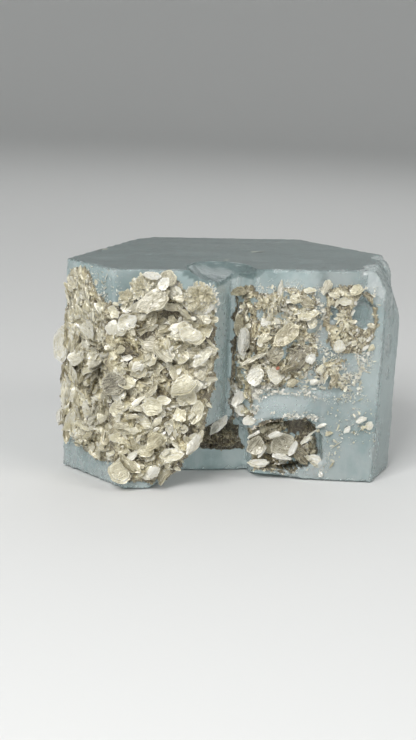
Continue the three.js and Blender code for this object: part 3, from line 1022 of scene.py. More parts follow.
    def lay_bed(self, patch: Patch) -> None:
        """Adds the scaly bed that the leaves of a patch stand in.

        Args:
            patch: The patch.
        """
        corners = np.array(patch.outline)
        low, high = corners.min(axis=0) - 1, corners.max(axis=0) + 1
        u, v = np.meshgrid(*(np.arange(a, b, self.bed_pitch) for a, b in zip(low, high)))
        jitter = self.rng.uniform(-self.bed_jitter, self.bed_jitter, (2, *u.shape)) * self.bed_pitch
        u, v = u + jitter[0], v + jitter[1]
        level = self.level(patch, u, v)
        filled = self.covers(patch, patch.outline, u, v) & np.isfinite(level)
        cells = filled[:-1, :-1] & filled[1:, :-1] & filled[:-1, 1:] & filled[1:, 1:]
        height = self.height(patch, u, v)
        top = np.stack([u, v, level + height], axis=-1).reshape(-1, 3)
        back = np.stack([u, v, level - self.bed_root], axis=-1).reshape(-1, 3)
        faces, used = slab_faces(cells)
        points = np.concatenate([top, back])[used]
        raised = np.clip(np.tile(height.ravel(), 2)[used] / patch.depth, 0, 1)
        u, v, _ = points.T
        coarse, fine = (self.shingles(patch, u, v, size) for size in self.shingle_sizes)
        # Each scale of the bed is painted lighter towards its raised edge, as light on its crest.
        coarse_crest_light, fine_crest_light = self.shingle_crest_light
        tone = patch.bed_tone + (coarse_crest_light * coarse**3 + fine_crest_light * fine**2)
        # The bed is painted darker the lower it lies, as shade in its hollows.
        tone = tone * (self.shaded_bottom_brightness + (1 - self.shaded_bottom_brightness) * raised)
        self.leaves.add(
            patch.face.place(points)[None],
            faces,
            tone=tone + self.speckle * self.rng.random(len(points)),
            gloss=0.5,
            warmth=np.clip(0.7 + 0.3 * self.cloud(u, v, 4.0, 2.0), 0, 1),
            rim=0.0,
            along=v - self.streak_slant * u + self.cloud(u, v, self.streak_size, 4.0),
            across=u + self.streak_slant * v + self.cloud(u, v, self.streak_size, 6.0),
        )

    def grow(self, patch: Patch, drift: Drift, growth: Growth) -> None:
        """Scatters the leaves of one size over a drift.

        Args:
            patch: The patch.
            drift: The drift.
            growth: How the leaves grow.
        """
        rng = self.rng
        corners = np.array(drift.outline)
        low, high = corners.min(axis=0) - self.margin, corners.max(axis=0) + self.margin
        places = scattered(low, high, growth.spacing, rng)
        u, v = places.T
        kept = self.covers(patch, drift.outline, u, v) & (rng.random(len(u)) >= drift.sparse)
        kept &= np.isfinite(self.level(patch, u, v))
        for hollow in patch.hollows:
            kept &= np.hypot(u - hollow.u, v - hollow.v) > self.hollow_rim * hollow.radius
        u, v = places[kept].T
        count = len(u)
        base = self.height(patch, u, v) if patch.outline else self.least_height
        rim = distance_to_rim(patch.outline or drift.outline, u, v)
        fit = np.clip(self.least_fit + rim / self.fit_reach, self.least_fit, 1)
        length, width = rng.uniform(*growth.length, count), rng.uniform(*growth.width, count)
        lift = rng.uniform(*growth.lift, count)
        least, greatest = growth.lift
        # Leaves that stand out least get painted shade, as if shaded by the others.
        painted_shade = 1 - (lift - least) / max(greatest - least, 0.1)
        spin, tip = (
            low + (high - low) * np.clip(share + rng.normal(0, growth.unruly, count), -0.1, 1.1)
            for (low, high), share in (
                (growth.spin, drifting(u, v, 1.7)),
                (growth.tip, drifting(u, v, 8.3)),
            )
        )
        batch = Batch(
            shape=growth.shape,
            at=np.stack([u, v, self.level(patch, u, v) + base + lift * fit], axis=1),
            turn=turns(spin, tip, rng.normal(growth.rear, self.rear_spread, count)),
            size=np.stack([length, width], axis=1) * fit[:, None],
            layers=rng.integers(growth.layers[0], growth.layers[1] + 1, count),
            tone=rng.uniform(*growth.tone, count) - self.deep_shade * painted_shade,
            gloss=rng.uniform(*growth.gloss, count),
            warmth=rng.uniform(*growth.warmth, count),
        )
        self.maker.make(patch.face, batch)

    def set_leaf(self, face: PrismFace, leaf: Leaf, seed: int) -> None:
        """Adds one leaf, or stack of leaves.

        Args:
            face: The face that it grows from.
            leaf: The leaf.
            seed: Seed of the leaf's own random numbers.
        """
        maker = LeafMaker(np.random.default_rng(seed), self.leaves, self.flecks)
        batch = Batch(
            shape=leaf.shape,
            at=np.array([(leaf.u, leaf.v, leaf.w)]),
            turn=turns(np.array([leaf.spin]), np.array([leaf.tip])),
            size=np.array([(leaf.length, leaf.width)]),
            layers=np.array([leaf.layers]),
            tone=np.array([leaf.tone]),
            gloss=np.array([leaf.gloss]),
            warmth=np.array([leaf.warmth]),
        )
        maker.make(face, batch)

    def open_rosette(self, face: PrismFace, rosette: Rosette) -> None:
        """Adds a rosette.

        Args:
            face: The face that it grows from.
            rosette: The rosette.
        """
        rng, count = self.rng, rosette.leaves
        share = rng.uniform(0, 1, count)
        around = rng.uniform(0, 360, count)
        out = rosette.radius * np.sqrt(share) * rng.uniform(*rosette.spread, count)
        away = np.radians(around)
        dome = rosette.dome * (1 - share) + rng.uniform(-0.2, 0.2, count)
        spot = np.stack([out * np.cos(away), out * np.sin(away), dome], axis=1)
        low, high = rosette.rear
        spin_spread, tip_spread, rear_spread = rosette.unruly
        rear = low + (high - low) * (1 - share) + rng.normal(0, rear_spread, count)
        spin = around + rng.normal(0, spin_spread, count)
        batch = Batch(
            shape=PETAL,
            at=np.array(rosette.at) + spot,
            turn=turns(spin, rng.normal(0, tip_spread, count), rear),
            size=np.array(rosette.size) * rng.uniform(*rosette.sizes, (count, 2)),
            layers=rng.integers(1, 3, count),
            tone=rng.uniform(*rosette.tone, count),
            gloss=rng.uniform(*rosette.gloss, count),
            warmth=rng.uniform(*rosette.warmth, count),
        )
        self.maker.make(face, batch)


def slab_faces(cells: np.ndarray) -> tuple[np.ndarray, np.ndarray]:
    """Faces of a closed slab over the filled cells of a grid.

    Args:
        cells: Which cells are filled.

    Returns:
        Rows of four corners, and which points of the outer and then the inner skin they use.
    """
    rows, columns = cells.shape[0] + 1, cells.shape[1] + 1
    index = np.arange(rows * columns).reshape(rows, columns)
    ring = (index[:-1, :-1], index[:-1, 1:], index[1:, 1:], index[1:, :-1])
    skin = np.stack(ring, axis=-1)[cells]
    shift = rows * columns
    edges = np.concatenate([skin[:, [i, (i + 1) % 4]] for i in range(4)])
    forth = edges[:, 0] * shift + edges[:, 1]
    back = edges[:, 1] * shift + edges[:, 0]
    rim = edges[~np.isin(forth, back)]
    walls = np.stack([rim[:, 1], rim[:, 0], rim[:, 0] + shift, rim[:, 1] + shift], axis=1)
    faces = np.concatenate([skin, skin[:, ::-1] + shift, walls])
    used, faces = np.unique(faces, return_inverse=True)
    return faces.reshape(-1, 4), used


# ---------------------------------------------------------------- finishes


@dataclass
class Nodes:
    """Adds and wires the nodes of one tree."""

    tree: bpy.types.NodeTree

    def add(
        self, kind: str, inputs: dict[str | int, object] | None = None, **settings: object
    ) -> bpy.types.Node:
        """Adds a node.

        Args:
            kind: Its Blender type.
            inputs: Values or sockets for its inputs, by name or by number.
            **settings: Its own settings.

        Returns:
            The new node.
        """
        node = self.tree.nodes.new(kind)
        for key, value in settings.items():
            setattr(node, key, value)
        for key, value in (inputs or {}).items():
            self.feed(node.inputs[key], value)
        return node

    def feed(self, socket: bpy.types.NodeSocket, value: object) -> None:
        """Links a socket to another one, or sets its value.

        Args:
            socket: The socket to feed.
            value: A socket, or a plain value.
        """
        if isinstance(value, bpy.types.NodeSocket):
            self.tree.links.new(value, socket)
        else:
            socket.default_value = value

    def math(self, operation: str, *values: object, clamp: bool = False) -> bpy.types.NodeSocket:
        """A sum on one, two or three values."""
        inputs = dict(enumerate(values))
        return self.add("ShaderNodeMath", inputs, operation=operation, use_clamp=clamp).outputs[0]

    def mix(self, factor: object, a: object, b: object) -> bpy.types.NodeSocket:
        """A mix of two colours.

        Args:
            factor: How much of the second one.
            a: The first colour.
            b: The second colour.

        Returns:
            The mixed colour.
        """
        node = self.add("ShaderNodeMix", data_type="RGBA")
        for index, value in ((0, factor), (6, a), (7, b)):
            self.feed(node.inputs[index], value)
        return node.outputs[2]

    def ramp(
        self, factor: bpy.types.NodeSocket, *stops: tuple[float, Colour]
    ) -> bpy.types.NodeSocket:
        """A colour ramp.

        Args:
            factor: What drives it.
            *stops: Place and colour of each stop.

        Returns:
            Its colour.
        """
        node = self.add("ShaderNodeValToRGB", {"Fac": factor})
        elements = node.color_ramp.elements
        while len(elements) < len(stops):
            elements.new(1.0)
        for element, (place, colour) in zip(elements, stops):
            element.position = place
            element.color = (*colour, 1.0)
        return node.outputs["Color"]

    def kept(self, name: str) -> bpy.types.NodeSocket:
        """The numbers that a mesh keeps for its points."""
        return self.add("ShaderNodeAttribute", attribute_name=name).outputs["Fac"]


@dataclass(frozen=True)
class Mottle:
    """Cloudy patches: their size, where they start and are full, and how far they are drawn up."""

    size: float
    low: float
    high: float
    stretch: float = 1.0


def mottle_group() -> bpy.types.NodeTree:
    """Makes the node group that turns the four numbers of a mottle into a mask.

    Returns:
        The group.
    """
    tree = bpy.data.node_groups.new("mineral_mottle", "ShaderNodeTree")
    for name, value in (("Size mm", 5.0), ("Stretch", 1.0), ("Low", 0.4), ("High", 0.6)):
        socket = tree.interface.new_socket(name, in_out="INPUT", socket_type="NodeSocketFloat")
        socket.default_value = value
    tree.interface.new_socket("Mask", in_out="OUTPUT", socket_type="NodeSocketFloat")
    nodes = Nodes(tree)
    given = nodes.add("NodeGroupInput").outputs
    place = nodes.add("ShaderNodeTexCoord").outputs["Object"]
    upwards = nodes.math("DIVIDE", 1.0, given["Stretch"])
    stretch = nodes.add("ShaderNodeCombineXYZ", {"X": 1.0, "Y": 1.0, "Z": upwards}).outputs[0]
    scaled = nodes.add("ShaderNodeVectorMath", {0: place, 1: stretch}, operation="MULTIPLY")
    cloud = nodes.add(
        "ShaderNodeTexNoise",
        {
            "Vector": scaled.outputs[0],
            "Scale": nodes.math("DIVIDE", 1.0 / MM, given["Size mm"]),
            "Detail": 4.0,
            "Roughness": 0.6,
        },
    )
    mask = nodes.add(
        "ShaderNodeMapRange",
        {"Value": cloud.outputs["Fac"], "From Min": given["Low"], "From Max": given["High"]},
        interpolation_type="SMOOTHSTEP",
    )
    nodes.add("NodeGroupOutput", {"Mask": mask.outputs[0]})
    return tree


class Finish:
    """A material with its shader, and helpers for wiring it."""

    def __init__(self, name: str, plain: dict[str, object]) -> None:
        """Starts a material.

        Args:
            name: Name of the finish.
            plain: Values that are the same all over the surface, by socket name.
        """
        self.material = bpy.data.materials.new(name)
        self.material.use_nodes = True
        self.nodes = Nodes(self.material.node_tree)
        self.shader = self.material.node_tree.nodes["Principled BSDF"]
        self.output = self.material.node_tree.nodes["Material Output"]
        for key, value in plain.items():
            self.shader.inputs[key].default_value = value

    def drive(self, name: str, source: bpy.types.NodeSocket) -> None:
        """Feeds one socket of the shader."""
        self.nodes.feed(self.shader.inputs[name], source)

    def mottle(self, group: bpy.types.NodeTree, patches: Mottle) -> bpy.types.NodeSocket:
        """Adds the shared mottle group.

        Args:
            group: The group.
            patches: Its values here.

        Returns:
            Its mask.
        """
        values = {
            "Size mm": patches.size,
            "Low": patches.low,
            "High": patches.high,
            "Stretch": patches.stretch,
        }
        return self.nodes.add("ShaderNodeGroup", values, node_tree=group).outputs["Mask"]

    def bump(
        self, height: bpy.types.NodeSocket, depth: float, below: bpy.types.NodeSocket | None = None
    ) -> bpy.types.NodeSocket:
        """A bump.

        Args:
            height: What drives it, from 0 to 1.
            depth: Its depth.
            below: The normal of a bump under it.

        Returns:
            The bumped normal.
        """
        node = self.nodes.add("ShaderNodeBump", {"Height": height, "Distance": depth * MM})
        if below is not None:
            self.nodes.feed(node.inputs["Normal"], below)
        return node.outputs["Normal"]


@dataclass(frozen=True)
class BerylFinish:
    """Milky, see-through pale blue beryl with painted shade; bruised places let no light through."""

    name: str = "pale_beryl"
    clear: Colour = (0.55, 0.67, 0.67)
    milky: Colour = (0.78, 0.85, 0.84)
    # Colour of the painted shade.
    painted_shade: Colour = (0.24, 0.315, 0.31)
    whitened: Colour = (0.88, 0.915, 0.905)
    absorbed: Colour = (0.62, 0.80, 0.82)
    density: float = 10.0
    transmission: float = 0.66
    ior: float = 1.577
    clouds: Mottle = Mottle(11.0, 0.36, 0.66)
    wisps: Mottle = Mottle(2.2, 0.48, 0.70, 6.0)
    specks: Mottle = Mottle(0.6, 0.63, 0.72)
    swells: Mottle = Mottle(3.4, 0.2, 0.8)
    grain: Mottle = Mottle(0.30, 0.3, 0.7, 7.0)
    wisp_weight: float = 0.6
    speck_weight: float = 0.32
    roughness: float = 0.14
    frost_roughness: float = 0.4
    swell_depth: float = 0.05
    grain_depth: float = 0.008

    def build(self, mottle: bpy.types.NodeTree) -> bpy.types.Material:
        """The material.

        Args:
            mottle: The shared mottle group.

        Returns:
            The finished material.
        """
        finish = Finish(self.name, {"Transmission Weight": self.transmission, "IOR": self.ior})
        nodes = finish.nodes
        frost_and_painted_light, painted_shade = nodes.kept("frost_and_painted_light"), nodes.kept("painted_shade")
        clouds, wisps, specks, swells, grain = (
            finish.mottle(mottle, patches)
            for patches in (self.clouds, self.wisps, self.specks, self.swells, self.grain)
        )
        body = nodes.mix(clouds, (*self.clear, 1), (*self.milky, 1))
        body = nodes.mix(nodes.math("MULTIPLY", wisps, self.wisp_weight), body, (*self.milky, 1))
        # Mixes in the painted shade that the mesh keeps for its points.
        body = nodes.mix(painted_shade, body, (*self.painted_shade, 1))
        dusty = nodes.math("MULTIPLY", specks, self.speck_weight)
        white = nodes.math("MAXIMUM", frost_and_painted_light, dusty, clamp=True)
        # Whitens the frosted places, and the flank that looks away from the key as painted light.
        finish.drive("Base Color", nodes.mix(white, body, (*self.whitened, 1)))
        rough = nodes.math("MULTIPLY_ADD", clouds, 0.08, self.roughness)
        rough = nodes.math("MULTIPLY_ADD", frost_and_painted_light, self.frost_roughness, rough, clamp=True)
        finish.drive("Roughness", rough)
        swell = finish.bump(swells, self.swell_depth)
        finish.drive("Normal", finish.bump(grain, self.grain_depth, swell))
        if self.transmission:
            inner = nodes.add(
                "ShaderNodeVolumeAbsorption", {"Color": (*self.absorbed, 1), "Density": self.density}
            )
            nodes.feed(finish.output.inputs["Volume"], inner.outputs[0])
        return finish.material


@dataclass(frozen=True)
class MicaFinish:
    """Pearly muscovite, from dark brown, the colour of the painted shade in the hollows, to silvery
    white.
    """

    # The darkest colour, which the painted shade in the hollows reaches.
    hollow: Colour = (0.085, 0.070, 0.045)
    straw: Colour = (0.44, 0.38, 0.235)
    straw_pale: Colour = (0.78, 0.72, 0.49)
    grey: Colour = (0.40, 0.37, 0.27)
    pearl: Colour = (0.74, 0.70, 0.57)
    silver: Colour = (0.90, 0.88, 0.79)
    streaks_along: float = 0.55
    streaks_across: float = 3.2
    growth_lines: float = 5.0
    patches: Mottle = Mottle(2.0, 0.3, 0.7)
    fine: Mottle = Mottle(0.34, 0.3, 0.7)

    def build(self, mottle: bpy.types.NodeTree) -> bpy.types.Material:
        """The material.

        Args:
            mottle: The shared mottle group.

        Returns:
            The finished material.
        """
        plain = {
            "IOR": 1.58,
            "Metallic": 0.18,
            "Coat Weight": 0.6,
            "Coat Roughness": 0.12,
            "Subsurface Weight": 0.35,
            "Subsurface Radius": (1.0, 0.9, 0.7),
            "Subsurface Scale": MM,
        }
        finish = Finish("pearly_mica", plain)
        nodes = finish.nodes
        patches, fine = (finish.mottle(mottle, mask) for mask in (self.patches, self.fine))
        streaks, rim, gloss = self.streaks(nodes), nodes.kept("rim"), nodes.kept("gloss")
        growth_lines = nodes.math("FRACT", nodes.math("MULTIPLY", rim, self.growth_lines))
        # Rims of the leaves are brightened: a painted glow for the light that their thin edges
        # scatter and let through.
        painted_rim_glow = nodes.math("MULTIPLY_ADD", rim, 6.0, -5.0, clamp=True)
        shade = nodes.kept("tone")
        grooved = nodes.math("MULTIPLY_ADD", gloss, -0.45, 0.62)
        for mask, middle, weight in (
            (patches, 0.5, 0.14),
            (fine, 0.5, 0.14),
            (streaks, 0.5, grooved),
            (growth_lines, 0.5, 0.04),
            (painted_rim_glow, 0.2, 0.26),
        ):
            shade = nodes.math("MULTIPLY_ADD", nodes.math("SUBTRACT", mask, middle), weight, shade)
        shade = nodes.math("ADD", shade, 0.0, clamp=True)
        warm = nodes.ramp(
            shade, (0.0, self.hollow), (0.35, self.straw), (0.7, self.straw_pale), (0.98, self.silver)
        )
        cool = nodes.ramp(
            shade, (0.0, self.hollow), (0.35, self.grey), (0.65, self.pearl), (0.95, self.silver)
        )
        finish.drive("Base Color", nodes.mix(nodes.kept("warmth"), cool, warm))
        finish.drive("Roughness", nodes.math("MULTIPLY_ADD", gloss, -0.38, 0.52))
        layered = finish.bump(growth_lines, 0.02)
        finish.drive("Normal", finish.bump(fine, 0.03, finish.bump(streaks, 0.10, layered)))
        return finish.material

    def streaks(self, nodes: Nodes) -> bpy.types.NodeSocket:
        """Fine streaks along each leaf.

        Args:
            nodes: The nodes of the finish.

        Returns:
            Their strength, from 0 to 1.
        """
        along = nodes.math("MULTIPLY", nodes.kept("along"), self.streaks_along)
        across = nodes.math("MULTIPLY", nodes.kept("across"), self.streaks_across)
        place = nodes.add("ShaderNodeCombineXYZ", {"X": along, "Y": across}).outputs[0]
        cloud = nodes.add("ShaderNodeTexNoise", {"Vector": place, "Scale": 1.0, "Detail": 3.0})
        return nodes.math("MULTIPLY_ADD", cloud.outputs["Fac"], 2.6, -0.8, clamp=True)


# ---------------------------------------------------------------- the beryl


@dataclass(frozen=True)
class Spot:
    """A place on the beryl that differs from the rest: its middle, radius and strength."""

    at: Place
    radius: float
    strength: float

    def felt(self, point: Vector) -> float:
        """How strongly it shows at a point."""
        return self.strength * max(0.0, 1 - ((point - Vector(self.at)).length / self.radius) ** 2)


@dataclass
class BerylCrystal:
    """The beryl, remeshed finely from its solid, with worn edges.

    The bruised places are whitish; three of them, on the flank that looks away from the key, are
    painted light. The shaded places get painted shade, as do the top face, the shell-shaped break
    and the faces that look to +x on the right. The swollen ones stand out to the right, or are
    dented where their strength is below 0. The shell is a shell-shaped break. The faster the pace
    of a roughness, the finer it is.
    """

    node: str = "aquamarine_crystal"
    voxel: float = 0.62
    chip_paces: Range = (0.55, 1.7)
    wave_paces: Range = (0.16, 0.6)
    wave_heights: Range = (0.08, 0.02)
    sunk: float = 0.05
    grain_paces: Range = (0.7, 1.9)
    tear_pace: float = 0.45
    edge_wear: float = 0.24
    edge_reach: float = 0.75
    sharp_angle: float = 22.0
    edge_step: float = 0.2
    smooth_angle: float = 32.0
    edge_frost: float = 0.8
    opaque_frost: float = 0.8
    wholly_bruised: float = 1.2
    bruise_depth: float = 0.3
    darkest_shade: float = 0.4
    break_shade: float = 0.95
    break_margin: float = 1.25
    top_shade: float = 0.88
    shell_centre: Place = (-4.5, -26, 52)
    shell_radii: Place = (8.6, 12.5, 3.8)
    shell_reach: Range = (0.9, 1.06)
    bruised: tuple[Spot, ...] = (
        Spot((33.5, -25, 48.6), 5.5, 2.4),
        Spot((36, -22, 44), 5, 2.4),
        Spot((35.5, -20, 50), 5, 2.4),
        Spot((40.5, -5, 49), 5, 1.8),
        Spot((40, -12, 46.5), 5, 1.8),
        Spot((37, -20, 39), 3.4, 1.3),
        Spot((37.5, -21, 32), 3.2, 1.2),
        Spot((37.5, -20, 25), 2.6, 0.9),
        Spot((34.6, -25, 12), 3, 0.9),
        Spot((33.4, -26, 7), 3.5, 0.9),
        Spot((33.4, -26, 3), 2.5, 0.8),
        Spot((-36, -20, 3), 12, 0.5),
        Spot((10, -26.7, 18.6), 7, 0.3),
        Spot((18, -26.7, 18.6), 7, 0.3),
        # These three whiten the flank that looks away from the key: painted light, not frost.
        Spot((-4.6, -27, 38), 8, 0.6),
        Spot((-4.6, -28, 28), 9, 0.6),
        Spot((-4.6, -29, 18), 8, 0.6),
        Spot((8, -26, 40), 6, 0.5),
        Spot((17, -26, 34), 5, 0.7),
        Spot((20, -26, 38), 4, 0.6),
        Spot((16, -26, 26), 3, 0.7),
        Spot((5, -26, 23), 2.8, 0.6),
        Spot((10, -26, 23), 2.8, 0.6),
        Spot((28, -26, 30), 5, 0.4),
        Spot((29, -26, 15), 3.5, 0.6),
        Spot((5, -26, 15.5), 2.5, 0.5),
        Spot((9, -26, 15.8), 2.5, 0.5),
        Spot((15, -26, 15.4), 2.5, 0.5),
        Spot((20, -26, 3.4), 4, 0.6),
    )
    # Painted shade: in the windows of the etched pits, and three dark places near the top.
    shaded: tuple[Spot, ...] = (
        Spot((29.6, -26, 41.4), 4.6, 1.5),
        Spot((22.9, -26, 40.2), 2.8, 1.2),
        Spot((6, -26, 49.6), 4.5, 0.5),
        Spot((19.6, -26, 49.6), 1.5, 0.8),
        Spot((-31.8, -26.4, 45.5), 4, 0.45),
    )
    swollen: tuple[Spot, ...] = (
        Spot((40.6, -5, 48.6), 4.6, 1),
        Spot((40.3, -14.5, 44.4), 4.6, -0.85),
    )

    def build(self, clear: bpy.types.Material, bruised: bpy.types.Material) -> bpy.types.Object:
        """Builds and places the piece.

        Args:
            clear: The beryl's material.
            bruised: The material of its whitish places.

        Returns:
            The finished piece.
        """
        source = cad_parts[self.node]
        piece = self.remeshed(source)
        piece.data.materials.clear()
        for material in (clear, bruised):
            piece.data.materials.append(material)
        self.wear(piece.data, source)
        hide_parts(self.node)
        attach(piece, BODY)
        return piece

    def remeshed(self, source: bpy.types.Object) -> bpy.types.Object:
        """Makes the piece, with an even, fine mesh of the solid.

        Args:
            source: The solid's object.

        Returns:
            The new piece.
        """
        mesh = source.data.copy()
        piece = placed("aquamarine_body", mesh)
        piece.modifiers.new("weld", "WELD").merge_threshold = MM / 1000
        remesh = piece.modifiers.new("fine", "REMESH")
        remesh.mode = "VOXEL"
        remesh.voxel_size = self.voxel * MM
        graph = bpy.context.evaluated_depsgraph_get()
        fine = bpy.data.meshes.new_from_object(piece.evaluated_get(graph))
        piece.modifiers.clear()
        piece.data = fine
        bpy.data.meshes.remove(mesh)
        return piece

    def from_shell(self, point: Vector) -> Vector:
        """A point as seen from the shell's middle, where the shell's surface is 1 away."""
        return Vector((p - c) / r for p, c, r in zip(point, self.shell_centre, self.shell_radii))

    def on_shell(self, point: Vector) -> Vector:
        """Brings a point near the shell-shaped break onto its smooth, rippled surface.

        Args:
            point: The place on the solid.

        Returns:
            The place on the break, or the same place where it is far from it.
        """
        out = self.from_shell(point)
        reach = out.length
        least, greatest = self.shell_reach
        if not least < reach < greatest:
            return point
        ripple = 1 + 0.012 * math.sin(9 * reach + 1.7 * point.x + 0.6 * point.y)
        out *= ripple / reach
        return Vector(c + o * r for o, c, r in zip(out, self.shell_centre, self.shell_radii))

    def wear(self, mesh: bpy.types.Mesh, source: bpy.types.Object) -> None:
        """Brings the points back to the solid's faces, wears and frosts the surface, and keeps
        its painted shade and painted light.

        Args:
            mesh: The fine mesh.
            source: The solid's object.
        """
        faces, sharp = self.sharp_places(source)
        count = len(mesh.vertices)
        frost_and_painted_light, painted_shade, moved = np.zeros(count), np.zeros(count), np.zeros((count, 3))
        opaque = np.zeros(count, bool)
        for index, vertex in enumerate(mesh.vertices):
            place, normal, _, _ = faces.find_nearest(vertex.co)
            gap = sharp.find(place)[2] / MM
            point = place / MM
            chips = [noise.noise(point * pace) for pace in self.chip_paces]
            chip = chips[0] + 0.6 * chips[1]
            near = max(0.0, 1 - gap / (self.edge_reach * (1 + 0.8 * chip)))
            bruise = sum(spot.felt(point) for spot in self.bruised)
            inward = vertex.normal * self.rise(point, chip, near, bruise)
            inward.x += sum(spot.felt(point) for spot in self.swollen)
            moved[index] = (self.on_shell(point) + inward) * MM
            frost_and_painted_light[index], opaque[index] = self.whitening(point, chip, near, bruise)
            # Painted shade for this point.
            painted_shade[index] = self.shading(point, normal)
        mesh.vertices.foreach_set("co", moved.ravel())
        add_values(mesh, "frost_and_painted_light", frost_and_painted_light)
        add_values(mesh, "painted_shade", painted_shade)
        for face in mesh.polygons:
            face.material_index = int(all(opaque[corner] for corner in face.vertices))
            face.use_smooth = True
        mesh.update()
        mesh.set_sharp_from_angle(angle=math.radians(self.smooth_angle))

    def rise(self, point: Vector, chip: float, near: float, bruise: float) -> float:
        """How far the worn and gently wavy surface stands out of the solid.

        Args:
            point: The place.
            chip: How chipped the surface is there.
            near: How near a sharp edge is, up to 1.
            bruise: How bruised the surface is.

        Returns:
            The height, which is below 0 in most places.
        """
        waves = zip(self.wave_paces, self.wave_heights)
        wave = sum(noise.noise(point * pace) * height for pace, height in waves)
        depth = self.edge_wear * near * near * max(0.3, 1 + 1.6 * chip)
        depth += self.bruise_depth * min(bruise, 1.0) * (1 + noise.noise(point * 1.4))
        return wave - self.sunk - depth

    def whitening(
        self, point: Vector, chip: float, near: float, bruise: float
    ) -> tuple[float, bool]:
        """How white the surface is, from 0 to 1, and whether no light gets through.

        Args:
            point: The place.
            chip: How chipped the surface is there.
            near: How near a sharp edge is, up to 1.
            bruise: How bruised the surface is.

        Returns:
            The frost and painted light, and True for an opaque place.
        """
        coarse, fine = (noise.noise(point * pace) for pace in self.grain_paces)
        grainy = max(0.0, 0.8 + coarse + 0.9 * fine)
        if bruise * (1 + 0.5 * noise.noise(point * self.tear_pace)) > self.wholly_bruised:
            return 0.3 * grainy, True
        worn = self.edge_frost * near * max(0.0, 0.4 + 1.1 * chip)
        if self.in_break(point):
            worn *= 0.1
        # Bruising whitens the surface; on the flank that looks away from the key it is painted light.
        frost_and_painted_light = min(1.0, worn + bruise * grainy)
        return frost_and_painted_light, frost_and_painted_light > self.opaque_frost

    def in_break(self, point: Vector) -> bool:
        """Whether a point is in or near the shell-shaped break."""
        return self.from_shell(point).length < self.break_margin

    def shading(self, point: Vector, normal: Vector) -> float:
        """How much painted shade the surface gets.

        Args:
            point: The place.
            normal: The way that the surface faces there.

        Returns:
            The painted shade, from 0 to 1.
        """
        # The shell-shaped break is painted almost fully shaded, which hides the light that shines
        # through it.
        if self.in_break(point):
            return self.break_shade
        # The top face is painted darker, less so to the right, with faint bands of painted shade.
        if normal.z > 0.8 and point.z > 40:
            band = 0.3 * noise.noise(Vector((point.x * 0.05, point.y * 0.3, 0)))
            return min(1.0, self.top_shade - 0.005 * point.x + band)
        # Faces that look to +x on the right are painted darker, as if in shade.
        right_side_shade = max(0.0, normal.x - 0.25) if point.x > 20 else 0.0
        shade = min(self.darkest_shade, sum(spot.felt(point) for spot in self.shaded))
        return max(right_side_shade, shade)

    def sharp_places(self, source: bpy.types.Object) -> tuple[BVHTree, KDTree]:
        """The solid's faces, and points along its sharp edges, for looking up.

        Args:
            source: The solid's object.

        Returns:
            A tree of the faces, and a tree of the points.
        """
        solid = bmesh.new()
        solid.from_mesh(source.data)
        bmesh.ops.remove_doubles(solid, verts=solid.verts, dist=MM / 1000)
        faces = BVHTree.FromBMesh(solid)
        points: list[Vector] = []
        least = math.radians(self.sharp_angle)
        for edge in solid.edges:
            if len(edge.link_faces) == 2 and edge.calc_face_angle() > least:
                a, b = (corner.co for corner in edge.verts)
                steps = max(1, int((b - a).length / (self.edge_step * MM)))
                points += [a.lerp(b, step / steps) for step in range(steps + 1)]
        solid.free()
        sharp = KDTree(len(points))
        for index, point in enumerate(points):
            sharp.insert(point, index)
        sharp.balance()
        return faces, sharp


# ---------------------------------------------------------------- the clusters


